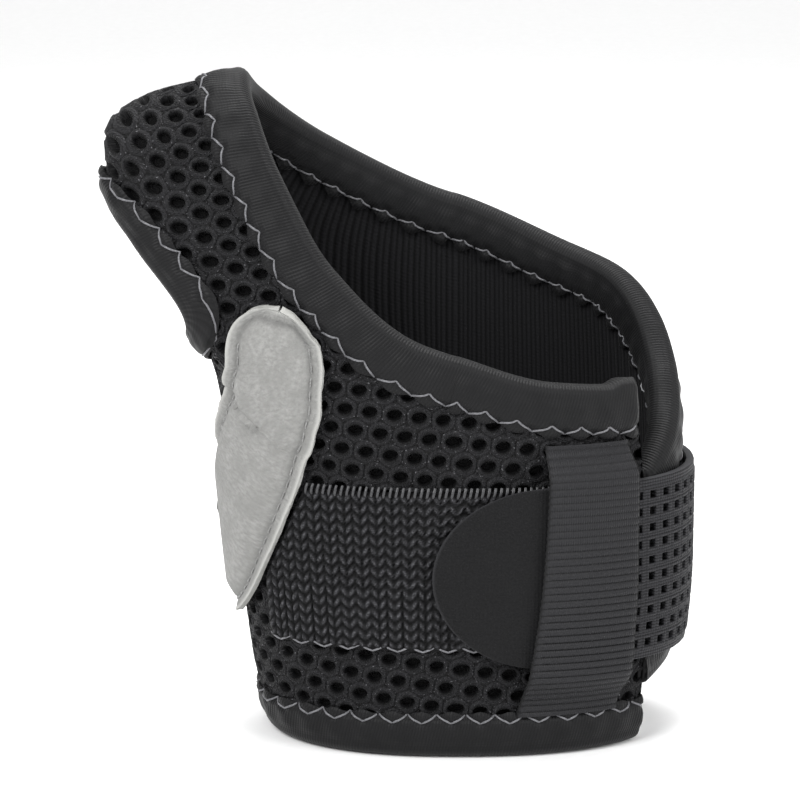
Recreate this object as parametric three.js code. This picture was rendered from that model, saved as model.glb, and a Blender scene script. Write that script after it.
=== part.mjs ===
// Thumb spica splint: a soft wrap for the wrist and the root of the thumb, standing on its wrist edge.
// Millimetres, +Z up towards the fingers. The palm panel faces -Y and the thumb hole faces -X.
// A place on the wrap is given by its turn, in degrees round the hand from the thumb side
// (positive over the palm, negative over the back of the hand), and by its rise, from 0 at the
// wrist edge to 1 at the hand edge.

import * as THREE from "three";

// Driving sizes of the wrap
const webHeight = 110;        // wrist edge to the top of the bridge between thumb and finger
const radialReach = 41;       // middle of the hand to the thumb side, where that is widest
const ulnarReach = 36.6;      // middle of the hand to the little-finger side
const halfDepth = 22.5;       // middle of the hand to the palm panel, and to the back panel
const webReach = 22.2;        // how far the bridge leans out past the thumb side
const roundness = 0.87;       // 1 gives a plain ellipse in plan, less gives fuller corners
const palmEndTurn = 150;      // free end of the palm panel, at its foot
const palmLean = -10;         // degrees that this end leans towards the thumb on its way up
const backEndTurn = -210;     // end of the back panel, just short of the palm panel's end
const backLean = -5;
const leanSpan = 40;          // degrees before either end over which the lean comes in
const ulnarNotch = 12.5;      // how far the wrist edge climbs on the little-finger side

// Layers of the wrap, from the outside inwards
const meshThickness = 1.5;
const liningThickness = 0.9;
const layerGap = 0.4;

// Fold-over binding tape on the edges
const tapeThickness = 0.7;
const tapeGap = 0.5;
const thumbTapeGap = 0.8;
const tapeCorner = 0.5;
const handTapeWidth = 8.5;
const wristTapeWidth = 8;
const thumbTapeWidth = 6.5;

// Thumb hole
const holeRise = 0.618;       // its middle, as a rise on the thumb side
const holeHalfRise = 0.073;
const holeSideRise = 0.675;   // rise of its two ends, on the palm and on the back
const holeHalfTurn = 36;

// Suede patch and the metal stay that it holds
const patchThickness = 1.1;
const patchGap = 0.86;
const patchRim = 3;
const patchEndLength = 6.5;
const stayThickness = 0.9;
const stayMargin = 1.2;       // from the patch's sloped rim to the stay's edge
const stayTaper = 0.09;       // share of the stay's length that rounds off at each end
const stayEndShare = 0.3;     // 1 leaves the ends square

// Loop-faced band on the palm
const bandBottom = 18.6;
const bandHeight = 26.4;
const bandThickness = 0.8;
const bandGap = 0.65;
const bandClearance = 0.8;    // to the edge of the patch
const bandEndTurn = 128;

// Elastic strap, its hook tab and the ribbon keeper
const strapBottom = 16;
const strapHeight = 30;
const strapThickness = 1.6;
const strapGap = 0.4;
const strapPalmTurn = 121;    // where the strap meets the hook tab, under the ribbon
const strapBackTurn = 258;    // sewn end on the back of the hand
const strapDropTurn = 204;    // where the strap starts down onto the back panel
const strapDropSpan = 25;
const tabLength = 24.5;
const tabShoulder = 0.25;     // how much of its length the tab's top and bottom edges run straight
const tabThickness = 1.2;
const tabJoint = 0.4;
const ribbonLeftTurn = 109;
const ribbonRightTurn = 135;
const ribbonFlare = 6;        // degrees that its lower end spreads towards the thumb
const ribbonThickness = 0.7;
const ribbonGap = 0.35;
const ribbonJoint = 0.4;      // from the ribbon's sewn end to the binding tape
const ribbonEase = 1;         // height that the ribbon stays up past the strap's edges

// Plan of the wrap at heights above the wrist edge, as shares of the sizes named above
const bodySections = [
  { height: 0.0, radial: 0.745, ulnar: 0.915, depth: 0.95 },
  { height: 0.11, radial: 0.825, ulnar: 0.965, depth: 0.98 },
  { height: 0.27, radial: 0.875, ulnar: 1.0, depth: 1.0 },
  { height: 0.41, radial: 0.91, ulnar: 1.0, depth: 1.0 },
  { height: 0.54, radial: 0.955, ulnar: 0.98, depth: 1.0 },
  { height: 0.63, radial: 0.98, ulnar: 0.96, depth: 0.985 },
  { height: 0.73, radial: 0.95, ulnar: 0.95, depth: 0.96 },
  { height: 0.82, radial: 0.89, ulnar: 0.945, depth: 0.95 },
  { height: 1.0, radial: 0.83, ulnar: 0.94, depth: 0.94 },
];

// The thumb side's own way up: climb is the share of the height, overhang the share of webReach
const webProfile = [
  { rise: 0.0, climb: 0.0, overhang: 0.0 },
  { rise: 0.25, climb: 0.3, overhang: 0.0 },
  { rise: 0.42, climb: 0.505, overhang: 0.0 },
  { rise: 0.54, climb: 0.64, overhang: 0.1 },
  { rise: 0.63, climb: 0.745, overhang: 0.56 },
  { rise: 0.73, climb: 0.845, overhang: 0.945 },
  { rise: 0.81, climb: 0.915, overhang: 1.0 },
  { rise: 0.885, climb: 0.962, overhang: 0.75 },
  { rise: 1.0, climb: 1.0, overhang: 0.0 },
];

// Hand edge round the wrap, as shares of webHeight
const handEdge = [
  { turn: -210, height: 0.425 },
  { turn: -188, height: 0.51 },
  { turn: -178, height: 0.565 },
  { turn: -164, height: 0.627 },
  { turn: -145, height: 0.682 },
  { turn: -118, height: 0.727 },
  { turn: -94, height: 0.784 },
  { turn: -56, height: 0.888 },
  { turn: -22, height: 0.97 },
  { turn: 0, height: 1.0 },
  { turn: 18, height: 0.965 },
  { turn: 37, height: 0.877 },
  { turn: 63, height: 0.727 },
  { turn: 84, height: 0.624 },
  { turn: 113, height: 0.567 },
  { turn: 150, height: 0.556 },
];

// Wrist edge round the wrap, as shares of ulnarNotch
const wristEdge = [
  { turn: -210, height: 0.76 },
  { turn: -198, height: 0.9 },
  { turn: -182, height: 1.0 },
  { turn: -160, height: 0.55 },
  { turn: -136, height: 0.0 },
  { turn: 150, height: 0.0 },
];

// Middle line of the suede patch from its palm end to its end beside the bridge:
// height as a share of webHeight, halfWidth as a share of patchHalfWidth
const patchHalfWidth = 13;
const patchLine = [
  { turn: 58, height: 0.672, halfWidth: 0.55 },
  { turn: 58, height: 0.6, halfWidth: 0.6 },
  { turn: 54, height: 0.54, halfWidth: 0.65 },
  { turn: 42.5, height: 0.497, halfWidth: 0.69 },
  { turn: 29, height: 0.428, halfWidth: 0.8 },
  { turn: 16, height: 0.358, halfWidth: 0.88 },
  { turn: 2, height: 0.292, halfWidth: 0.92 },
  { turn: -11, height: 0.275, halfWidth: 0.9 },
  { turn: -25, height: 0.328, halfWidth: 0.85 },
  { turn: -38, height: 0.43, halfWidth: 0.76 },
  { turn: -50, height: 0.56, halfWidth: 0.64 },
  { turn: -57, height: 0.67, halfWidth: 0.55 },
  { turn: -58, height: 0.765, halfWidth: 0.46 },
];

// How finely the surfaces are divided
const columnStep = 9.5;       // degrees between columns away from the thumb hole
const holeColumns = 14;
const lowerRows = 8;
const upperRows = 7;
const rowsCloserUp = 1.5;     // 1 spaces the lower rows evenly, more draws them up to the thumb hole
const patchStations = 24;
const patchShares = [-1, -0.74, -0.38, 0, 0.38, 0.74, 1];
const patchEndSteps = 4;
const stayNodesAcross = 5;
const bandGrid = { columns: 22, rows: 4 };
const strapGrid = { columns: 22, rows: 4 };
const tabGrid = { columns: 8, rows: 9 };
const ribbonGrid = { columns: 6, rows: 12 };
const walkStep = 1.5;
const turnNudge = 0.2;        // half the stretch over which a path's direction is taken
const angleNudge = 0.02;
const shareNudge = 0.002;

const radians = Math.PI / 180;
const wallThickness = meshThickness + layerGap + liningThickness;
const tapeFold = tapeThickness + tapeGap;
const thumbTapeFold = tapeThickness + thumbTapeGap;
const footHeight = 14;        // below this the layers are stacked level, so the foot stands flat

// A smooth curve through one column of a table, with no swing past its rows
function follow(rows, along, column, at) {
  const last = rows.length - 1;
  if (at <= rows[0][along]) return rows[0][column];
  if (at >= rows[last][along]) return rows[last][column];
  let row = 0;
  while (rows[row + 1][along] < at) row += 1;
  const slopeAfter = (k) => (rows[k + 1][column] - rows[k][column]) / (rows[k + 1][along] - rows[k][along]);
  const slopeAt = (k) => {
    if (k === 0) return slopeAfter(0);
    if (k === last) return slopeAfter(last - 1);
    const before = slopeAfter(k - 1);
    const after = slopeAfter(k);
    return before * after > 0 ? (2 * before * after) / (before + after) : 0;
  };
  const span = rows[row + 1][along] - rows[row][along];
  const t = (at - rows[row][along]) / span;
  const start = rows[row][column] * (1 + 2 * t) * (1 - t) ** 2 + slopeAt(row) * span * t * (1 - t) ** 2;
  const end = rows[row + 1][column] * t * t * (3 - 2 * t) + slopeAt(row + 1) * span * t * t * (t - 1);
  return start + end;
}

function smoothStep(value) {
  const t = Math.min(1, Math.max(0, value));
  return t * t * (3 - 2 * t);
}

function mix(from, to, share) {
  return from + (to - from) * share;
}

// A point of the plain body, without the bridge's overhang, on its outer face
function bodyPoint(turn, height) {
  const share = height / webHeight;
  const across = Math.cos(turn * radians);
  const along = Math.sin(turn * radians);
  const reach = across > 0
    ? radialReach * follow(bodySections, "height", "radial", share)
    : ulnarReach * follow(bodySections, "height", "ulnar", share);
  const depth = halfDepth * follow(bodySections, "height", "depth", share);
  return new THREE.Vector3(
    -reach * Math.sign(across) * Math.abs(across) ** roundness,
    -depth * Math.sign(along) * Math.abs(along) ** roundness,
    height,
  );
}

function webWeight(turn) {
  return Math.abs(turn) < 90 ? Math.cos(turn * radians) ** 2 : 0;
}

function handHeight(turn) {
  return webHeight * follow(handEdge, "turn", "height", turn);
}

function wristHeight(turn) {
  return ulnarNotch * follow(wristEdge, "turn", "height", turn);
}

function heightAt(turn, rise) {
  const climb = mix(rise, follow(webProfile, "rise", "climb", rise), webWeight(turn));
  return mix(wristHeight(turn), handHeight(turn), climb);
}

function riseAt(turn, height) {
  let low = 0;
  let high = 1;
  for (let pass = 0; pass < 30; pass += 1) {
    const middle = (low + high) / 2;
    if (heightAt(turn, middle) < height) low = middle;
    else high = middle;
  }
  return (low + high) / 2;
}

// The two ends of the wrap lean as they rise
function leant(turn, rise) {
  const palmShare = smoothStep((turn - palmEndTurn + leanSpan) / leanSpan);
  const backShare = smoothStep((backEndTurn - turn + leanSpan) / leanSpan);
  return turn + rise * (palmLean * palmShare + backLean * backShare);
}

// A point on the outer face of the wrap
function skin(turn, rise) {
  const point = bodyPoint(leant(turn, rise), heightAt(turn, rise));
  point.x -= webReach * follow(webProfile, "rise", "overhang", rise) * webWeight(turn);
  return point;
}

// How the outer face runs at a place: along the turn, along the rise, and outwards
function skinFrame(turn, rise) {
  const turnStep = 0.4;
  const riseStep = 0.004;
  const above = Math.min(1, rise + riseStep);
  const below = Math.max(0, rise - riseStep);
  const alongTurn = skin(turn + turnStep, rise).sub(skin(turn - turnStep, rise)).divideScalar(2 * turnStep);
  const alongRise = skin(turn, above).sub(skin(turn, below)).divideScalar(above - below);
  const outward = new THREE.Vector3().crossVectors(alongTurn, alongRise).normalize();
  outward.z *= smoothStep(heightAt(turn, rise) / footHeight);
  outward.normalize();
  return { alongTurn, alongRise, outward };
}

function onSkin(place, lift) {
  const { outward } = skinFrame(place.turn, place.rise);
  return skin(place.turn, place.rise).addScaledVector(outward, lift);
}

// The place reached by walking a distance over the face in a given direction
function walk(place, direction, distance) {
  const steps = Math.max(1, Math.ceil(Math.abs(distance) / walkStep));
  const here = { turn: place.turn, rise: place.rise };
  for (let step = 0; step < steps; step += 1) {
    const { alongTurn, alongRise, outward } = skinFrame(here.turn, here.rise);
    const heading = direction.clone().addScaledVector(outward, -direction.dot(outward)).normalize();
    const tt = alongTurn.dot(alongTurn);
    const tr = alongTurn.dot(alongRise);
    const rr = alongRise.dot(alongRise);
    const byTurn = alongTurn.dot(heading) * (distance / steps);
    const byRise = alongRise.dot(heading) * (distance / steps);
    const area = tt * rr - tr * tr;
    here.turn += (byTurn * rr - byRise * tr) / area;
    here.rise = Math.min(1, Math.max(0, here.rise + (byRise * tt - byTurn * tr) / area));
  }
  return here;
}

// The place at a distance from a path, square to it: positive to the left of its way, seen from outside
function beside(path, at, distance, nudge) {
  const ahead = path(at + nudge);
  const behind = path(at - nudge);
  const place = path(at);
  const way = skin(ahead.turn, ahead.rise).sub(skin(behind.turn, behind.rise)).normalize();
  const { outward } = skinFrame(place.turn, place.rise);
  return walk(place, new THREE.Vector3().crossVectors(outward, way), distance);
}

// The three bound edges, each as a path whose left side is fabric
function handPath(turn) {
  return { turn, rise: 1 };
}

function wristPath(turn) {
  return { turn, rise: 0 };
}

function thumbPath(angle) {
  return {
    turn: -holeHalfTurn * Math.cos(angle),
    rise: mix(holeRise, holeSideRise, Math.cos(angle) ** 2) + holeHalfRise * Math.sin(angle),
  };
}

// A distance in from an edge: the hand edge has its fabric on the right of its way, so it walks the other way
function fromHandEdge(turn, distance) {
  return beside(handPath, turn, -distance, turnNudge);
}

function fromWristEdge(turn, distance) {
  return beside(wristPath, turn, distance, turnNudge);
}

function fromThumbEdge(angle, distance) {
  return beside(thumbPath, angle, distance, angleNudge);
}

// Closed solid between an outer and an inner sheet of nodes; cells run anticlockwise seen from outside
function sheetSolid(nodes, cells) {
  const positions = [];
  for (const node of nodes) positions.push(...node.outer.toArray());
  for (const node of nodes) positions.push(...node.inner.toArray());
  const count = nodes.length;
  const index = [];
  const edges = new Set();
  for (const [a, b, c, d] of cells) {
    index.push(a, b, c, a, c, d);
    index.push(count + a, count + c, count + b, count + a, count + d, count + c);
    for (const [from, to] of [[a, b], [b, c], [c, d], [d, a]]) edges.add(`${from},${to}`);
  }
  for (const edge of edges) {
    const [from, to] = edge.split(",").map(Number);
    if (edges.has(`${to},${from}`)) continue;
    index.push(to, from, count + from, to, count + from, count + to);
  }
  return solid(positions, index);
}

function solid(positions, index) {
  const geometry = new THREE.BufferGeometry();
  geometry.setAttribute("position", new THREE.Float32BufferAttribute(positions, 3));
  geometry.setIndex(index);
  geometry.computeVertexNormals();
  return geometry;
}

// Sheet over a rectangular grid of places, with its own lift at each
function gridSheet(columns, rows, placeAt, thickness) {
  const nodes = [];
  const cells = [];
  for (let column = 0; column < columns; column += 1) {
    for (let row = 0; row < rows; row += 1) {
      const { point, lift } = placeAt(column / (columns - 1), row / (rows - 1));
      nodes.push({ outer: point(lift + thickness), inner: point(lift) });
      if (column + 1 < columns && row + 1 < rows) {
        const first = column * rows + row;
        cells.push([first, first + rows, first + rows + 1, first + 1]);
      }
    }
  }
  return sheetSolid(nodes, cells);
}

// Solid swept through sections that share one profile; a closed path joins its last section to its first
function sweptSolid(sections, profile, closed) {
  const size = profile.length;
  const positions = sections.flatMap((section) => section.flatMap((point) => point.toArray()));
  const index = [];
  const spans = closed ? sections.length : sections.length - 1;
  for (let span = 0; span < spans; span += 1) {
    const here = span * size;
    const next = ((span + 1) % sections.length) * size;
    for (let side = 0; side < size; side += 1) {
      const after = (side + 1) % size;
      index.push(here + side, next + side, next + after, here + side, next + after, here + after);
    }
  }
  if (!closed) {
    const end = (sections.length - 1) * size;
    for (const [a, b, c] of THREE.ShapeUtils.triangulateShape(profile, [])) {
      index.push(a, b, c);
      index.push(end + a, end + c, end + b);
    }
  }
  return solid(positions, index);
}

// Turns of the columns: even steps, with closer ones over the ends of the thumb hole
function columnTurns() {
  const turns = [];
  const backSteps = Math.ceil((-holeHalfTurn - backEndTurn) / columnStep);
  for (let step = 0; step < backSteps; step += 1) {
    turns.push(mix(backEndTurn, -holeHalfTurn, step / backSteps));
  }
  for (let step = 0; step <= holeColumns; step += 1) {
    turns.push(-holeHalfTurn * Math.cos((Math.PI * step) / holeColumns));
  }
  const palmSteps = Math.ceil((palmEndTurn - holeHalfTurn) / columnStep);
  for (let step = 1; step <= palmSteps; step += 1) {
    turns.push(mix(holeHalfTurn, palmEndTurn, step / palmSteps));
  }
  return { turns, firstHole: backSteps, lastHole: backSteps + holeColumns };
}

// One layer of the wrap, with the thumb hole left out, between two depths below the outer face
function wrapLayer(top, bottom) {
  const { turns, firstHole, lastHole } = columnTurns();
  const nodes = [];
  const cells = [];
  const addNode = (place) => nodes.push({ outer: onSkin(place, -top), inner: onSkin(place, -bottom) }) - 1;
  const between = (from, to, share) => ({
    turn: mix(from.turn, to.turn, share),
    rise: mix(from.rise, to.rise, share),
  });
  const columns = turns.map((turn, column) => {
    const foot = fromWristEdge(turn, tapeFold);
    const head = fromHandEdge(turn, tapeFold);
    const overHole = column >= firstHole && column <= lastHole;
    const angle = (Math.PI * (column - firstHole)) / holeColumns;
    const sill = overHole ? fromThumbEdge(-angle, thumbTapeFold) : { turn, rise: holeSideRise };
    const atEnd = column === firstHole || column === lastHole;
    const lintel = overHole && !atEnd ? fromThumbEdge(angle, thumbTapeFold) : sill;
    const lower = [];
    for (let row = 0; row <= lowerRows; row += 1) {
      lower.push(addNode(between(foot, sill, 1 - (1 - row / lowerRows) ** rowsCloserUp)));
    }
    const upper = lintel === sill ? [lower[lowerRows]] : [addNode(lintel)];
    for (let row = 1; row <= upperRows; row += 1) upper.push(addNode(between(lintel, head, row / upperRows)));
    return { lower, upper };
  });
  for (let column = 0; column + 1 < columns.length; column += 1) {
    for (const part of ["lower", "upper"]) {
      const here = columns[column][part];
      const next = columns[column + 1][part];
      for (let row = 0; row + 1 < here.length; row += 1) {
        cells.push([here[row], next[row], next[row + 1], here[row + 1]]);
      }
    }
  }
  return sheetSolid(nodes, cells);
}

// Section of the folded tape: x is the distance in from the edge, y the lift from the outer face
function tapeProfile(width, gap) {
  const out = gap + tapeThickness;
  const back = -(wallThickness + gap + tapeThickness);
  return [
    new THREE.Vector2(width, out),
    new THREE.Vector2(width / 2, out),
    new THREE.Vector2(tapeCorner, out),
    new THREE.Vector2(0, out - tapeCorner),
    new THREE.Vector2(0, back + tapeCorner),
    new THREE.Vector2(tapeCorner, back),
    new THREE.Vector2(width / 2, back),
    new THREE.Vector2(width, back),
    new THREE.Vector2(width, back + tapeThickness),
    new THREE.Vector2(width / 2, back + tapeThickness),
    new THREE.Vector2(tapeThickness, back + tapeThickness),
    new THREE.Vector2(tapeThickness, gap),
    new THREE.Vector2(width / 2, gap),
    new THREE.Vector2(width, gap),
  ];
}

function boundEdge(stations, { width, gap, fromEdge, closed }) {
  const profile = tapeProfile(width, gap);
  const sections = stations.map((station) => profile.map(({ x, y }) => onSkin(fromEdge(station, x), y)));
  return sweptSolid(sections, profile, closed);
}

const handTape = { width: handTapeWidth, gap: tapeGap, fromEdge: fromHandEdge, closed: false };
const wristTape = { width: wristTapeWidth, gap: tapeGap, fromEdge: fromWristEdge, closed: false };
const thumbTape = { width: thumbTapeWidth, gap: thumbTapeGap, fromEdge: fromThumbEdge, closed: true };

// Suede patch: its middle line as a path, and how wide it is along it
function patchPath(share) {
  const at = Math.min(1, Math.max(0, share)) * (patchLine.length - 1);
  const rows = patchLine.map((row, order) => ({ order, ...row }));
  const turn = follow(rows, "order", "turn", at);
  return { turn, rise: riseAt(turn, webHeight * follow(rows, "order", "height", at)) };
}

function patchWidthAt(share) {
  const rows = patchLine.map((row, order) => ({ order, ...row }));
  return patchHalfWidth * follow(rows, "order", "halfWidth", share * (patchLine.length - 1));
}

// Stations along the patch, drawn closer over its round ends
function patchStationsList() {
  const length = patchLength();
  const end = patchEndLength / length;
  const stations = [];
  for (let step = 0; step < patchEndSteps; step += 1) {
    const angle = (Math.PI / 2) * ((step + 0.35) / patchEndSteps);
    stations.push({ share: end * (1 - Math.cos(angle)), widen: Math.sin(angle) });
  }
  for (let step = 0; step <= patchStations; step += 1) {
    stations.push({ share: mix(end, 1 - end, step / patchStations), widen: 1 });
  }
  for (const { share, widen } of stations.slice(0, patchEndSteps).reverse()) {
    stations.push({ share: 1 - share, widen });
  }
  return stations;
}

function patchLength() {
  const pieces = 40;
  let length = 0;
  for (let piece = 0; piece < pieces; piece += 1) {
    const from = patchPath(piece / pieces);
    const to = patchPath((piece + 1) / pieces);
    length += skin(from.turn, from.rise).distanceTo(skin(to.turn, to.rise));
  }
  return length;
}

function suedePatch() {
  const stations = patchStationsList();
  const nodes = [];
  const cells = [];
  const across = patchShares.length;
  const raised = stayThickness + layerGap;
  stations.forEach(({ share, widen }, order) => {
    const halfWidth = patchWidthAt(share) * widen;
    patchShares.forEach((side, number) => {
      const place = beside(patchPath, share, side * halfWidth, shareNudge);
      const lift = patchGap + raised * smoothStep(((1 - Math.abs(side)) * halfWidth) / patchRim);
      nodes.push({ outer: onSkin(place, lift + patchThickness), inner: onSkin(place, lift) });
      if (order + 1 < stations.length && number + 1 < across) {
        const first = order * across + number;
        cells.push([first, first + across, first + across + 1, first + 1]);
      }
    });
  });
  return sheetSolid(nodes, cells);
}

// Metal stay under the patch, narrower by the patch's rim all round
function metalStay() {
  const inset = patchRim + stayMargin;
  const stations = patchStationsList().filter(({ share, widen }) => patchWidthAt(share) * widen > inset + 1);
  const inner = stations.slice(1, -1);
  const columns = inner.length;
  return gridSheet(columns, stayNodesAcross, (alongShare, acrossShare) => {
    const { share, widen } = inner[Math.round(alongShare * (columns - 1))];
    const halfWidth = patchWidthAt(share) * widen - inset;
    const taper = Math.min(1, Math.min(alongShare, 1 - alongShare) / stayTaper);
    const rounded = halfWidth * Math.sqrt(mix(stayEndShare, 1, taper));
    const place = beside(patchPath, share, mix(-rounded, rounded, acrossShare), shareNudge);
    return { point: (lift) => onSkin(place, lift), lift: patchGap };
  }, stayThickness);
}

// A place at a turn and a height, for the pieces that lie on the palm and the little-finger side
function onBody(turn, height, lift) {
  const turnStep = 0.4;
  const heightStep = 0.4;
  const alongTurn = bodyPoint(turn + turnStep, height).sub(bodyPoint(turn - turnStep, height));
  const alongHeight = bodyPoint(turn, height + heightStep).sub(bodyPoint(turn, height - heightStep));
  const outward = new THREE.Vector3().crossVectors(alongTurn, alongHeight).normalize();
  outward.z *= smoothStep(height / footHeight);
  return bodyPoint(turn, height).addScaledVector(outward.normalize(), lift);
}

// Turn at which the patch's edge on the palm crosses a height
function patchEdgeTurn(height) {
  const samples = 60;
  const palmShare = 0.45;
  let best = 0;
  for (let step = 0; step <= samples; step += 1) {
    const share = (step / samples) * palmShare;
    const edge = beside(patchPath, share, patchWidthAt(share) + bandClearance, shareNudge);
    if (heightAt(edge.turn, edge.rise) >= height) best = edge.turn;
  }
  return best;
}

function loopBand() {
  return gridSheet(bandGrid.columns, bandGrid.rows, (alongShare, upShare) => {
    const height = bandBottom + bandHeight * upShare;
    const turn = mix(patchEdgeTurn(height), bandEndTurn, alongShare);
    return { point: (lift) => onBody(turn, height, lift), lift: bandGap };
  }, bandThickness);
}

const strapLift = bandGap + bandThickness + strapGap;

function strapLiftAt(turn) {
  return mix(strapLift, strapGap, smoothStep((turn - strapDropTurn) / strapDropSpan));
}

function elasticStrap() {
  return gridSheet(strapGrid.columns, strapGrid.rows, (alongShare, upShare) => {
    const turn = mix(strapPalmTurn, strapBackTurn, alongShare);
    const height = strapBottom + strapHeight * upShare;
    return { point: (lift) => onBody(turn, height, lift), lift: strapLiftAt(turn) };
  }, strapThickness);
}

// The turn reached by going a distance round the body, at one height, towards the thumb side
function turnBack(turn, height, distance) {
  const step = 0.25;
  let here = turn;
  let gone = 0;
  while (gone < distance) {
    gone += bodyPoint(here, height).distanceTo(bodyPoint(here - step, height));
    here -= step;
  }
  return here;
}

// Hook tab: a half-round end that reaches from under the ribbon over the loop band
function hookTab() {
  const middle = strapBottom + strapHeight / 2;
  return gridSheet(tabGrid.columns, tabGrid.rows, (alongShare, upShare) => {
    const height = middle - (strapHeight / 2) * Math.cos(Math.PI * upShare);
    const reach = tabLength * mix(tabShoulder, 1, Math.sin(Math.PI * upShare));
    const turn = turnBack(strapPalmTurn, middle, tabJoint + reach * (1 - alongShare));
    return { point: (lift) => onBody(turn, height, lift), lift: strapLift };
  }, tabThickness);
}

// Ribbon keeper: sewn down at both ends, raised over the strap between them
function ribbonKeeper() {
  const foot = wristTapeWidth + tapeGap;
  const middleTurn = (ribbonLeftTurn + ribbonRightTurn) / 2;
  const head = handHeight(middleTurn) - handTapeWidth - tapeGap - ribbonJoint;
  const strapFoot = strapBottom - ribbonEase;
  const strapTop = strapBottom + strapHeight + ribbonEase;
  const overStrap = strapLift + strapThickness + ribbonGap;
  return gridSheet(ribbonGrid.columns, ribbonGrid.rows, (alongShare, upShare) => {
    const height = mix(foot, head, upShare);
    const spread = ribbonFlare * (1 - upShare) ** 2;
    const turn = mix(ribbonLeftTurn - spread, ribbonRightTurn, alongShare);
    const climb = Math.min(height - foot, strapFoot - foot) / (strapFoot - foot);
    const fall = Math.min(head - height, head - strapTop) / (head - strapTop);
    const lift = mix(bandGap, overStrap, smoothStep(Math.min(climb, fall)));
    return { point: (offset) => onBody(turn, height, offset), lift };
  }, ribbonThickness);
}

const meshMaterial = new THREE.MeshStandardMaterial({ color: 0x202022, roughness: 0.9, metalness: 0 });
const liningMaterial = new THREE.MeshStandardMaterial({ color: 0x18181a, roughness: 0.95, metalness: 0 });
const tapeMaterial = new THREE.MeshStandardMaterial({ color: 0x262628, roughness: 0.8, metalness: 0 });
const suedeMaterial = new THREE.MeshStandardMaterial({ color: 0xb4b4b2, roughness: 1, metalness: 0 });
const stayMaterial = new THREE.MeshStandardMaterial({ color: 0xc9cbce, roughness: 0.35, metalness: 1 });
const bandMaterial = new THREE.MeshStandardMaterial({ color: 0x1c1c1e, roughness: 1, metalness: 0 });
const strapMaterial = new THREE.MeshStandardMaterial({ color: 0x38383a, roughness: 0.85, metalness: 0 });
const tabMaterial = new THREE.MeshStandardMaterial({ color: 0x242426, roughness: 0.75, metalness: 0 });
const ribbonMaterial = new THREE.MeshStandardMaterial({ color: 0x333335, roughness: 0.7, metalness: 0 });

const splint = new THREE.Group();

function add(name, geometry, material) {
  const mesh = new THREE.Mesh(geometry, material);
  mesh.name = name;
  splint.add(mesh);
}

const { turns } = columnTurns();
const holeStations = Array.from({ length: 2 * holeColumns }, (_, step) => (Math.PI * step) / holeColumns);

add("mesh_shell", wrapLayer(0, meshThickness), meshMaterial);
add("lining", wrapLayer(meshThickness + layerGap, wallThickness), liningMaterial);
add("hand_edge_binding", boundEdge(turns, handTape), tapeMaterial);
add("wrist_edge_binding", boundEdge([...turns].reverse(), wristTape), tapeMaterial);
add("thumb_hole_binding", boundEdge([...holeStations].reverse(), thumbTape), tapeMaterial);
add("suede_patch", suedePatch(), suedeMaterial);
add("metal_stay", metalStay(), stayMaterial);
add("loop_band", loopBand(), bandMaterial);
add("elastic_strap", elasticStrap(), strapMaterial);
add("hook_tab", hookTab(), tabMaterial);
add("ribbon_keeper", ribbonKeeper(), ribbonMaterial);

// The origin is the middle of the outline on the surface that the splint stands on
const outline = new THREE.Box3().setFromObject(splint);
splint.position.set(-(outline.min.x + outline.max.x) / 2, -(outline.min.y + outline.max.y) / 2, -outline.min.z);

export default splint;
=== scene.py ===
"""Dresses the thumb spica splint: its knits, binding tapes, suede patch, strap and stitches.

Metres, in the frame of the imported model: +Z up towards the fingers, the palm panel faces -Y and the
thumb hole faces -X. A place on the wrap is its turn, in degrees round the hand from the thumb side
(positive over the palm), and its rise, from 0 at the wrist edge to 1 at the hand edge.
"""

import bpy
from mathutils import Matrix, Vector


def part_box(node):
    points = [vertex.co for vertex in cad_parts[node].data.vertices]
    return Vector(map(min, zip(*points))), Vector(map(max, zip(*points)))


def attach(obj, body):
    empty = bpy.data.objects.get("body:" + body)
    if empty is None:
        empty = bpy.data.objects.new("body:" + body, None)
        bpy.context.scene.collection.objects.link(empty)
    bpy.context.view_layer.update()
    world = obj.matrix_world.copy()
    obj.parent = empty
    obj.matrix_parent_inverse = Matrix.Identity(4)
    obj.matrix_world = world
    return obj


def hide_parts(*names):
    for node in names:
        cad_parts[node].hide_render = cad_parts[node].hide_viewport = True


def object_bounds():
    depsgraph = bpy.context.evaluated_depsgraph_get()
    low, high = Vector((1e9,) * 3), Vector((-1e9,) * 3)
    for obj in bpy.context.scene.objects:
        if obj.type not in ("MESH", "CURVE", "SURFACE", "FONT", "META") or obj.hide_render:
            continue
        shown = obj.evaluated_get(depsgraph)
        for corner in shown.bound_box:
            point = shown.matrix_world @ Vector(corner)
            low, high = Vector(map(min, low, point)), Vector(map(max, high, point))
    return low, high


bl_info = {
    "name": "Thumb Spica Splint",
    "version": (1, 0, 0),
    "blender": (4, 5, 0),
    "location": "View3D > Sidebar > Splint",
    "description": "Dresses a wrist and thumb splint in its knits, tapes, suede and stitches",
    "category": "Object",
}

from math import ceil, cos, pi, radians, sin, sqrt

import bpy
import numpy as np
from mathutils import Vector
from mathutils.kdtree import KDTree

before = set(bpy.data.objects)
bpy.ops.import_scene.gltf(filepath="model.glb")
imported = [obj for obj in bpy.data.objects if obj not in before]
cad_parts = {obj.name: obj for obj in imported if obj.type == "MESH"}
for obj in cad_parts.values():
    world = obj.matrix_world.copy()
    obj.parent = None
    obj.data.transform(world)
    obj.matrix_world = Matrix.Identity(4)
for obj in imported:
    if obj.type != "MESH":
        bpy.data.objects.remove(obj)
CAD_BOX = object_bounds()
MM = 0.001

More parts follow.
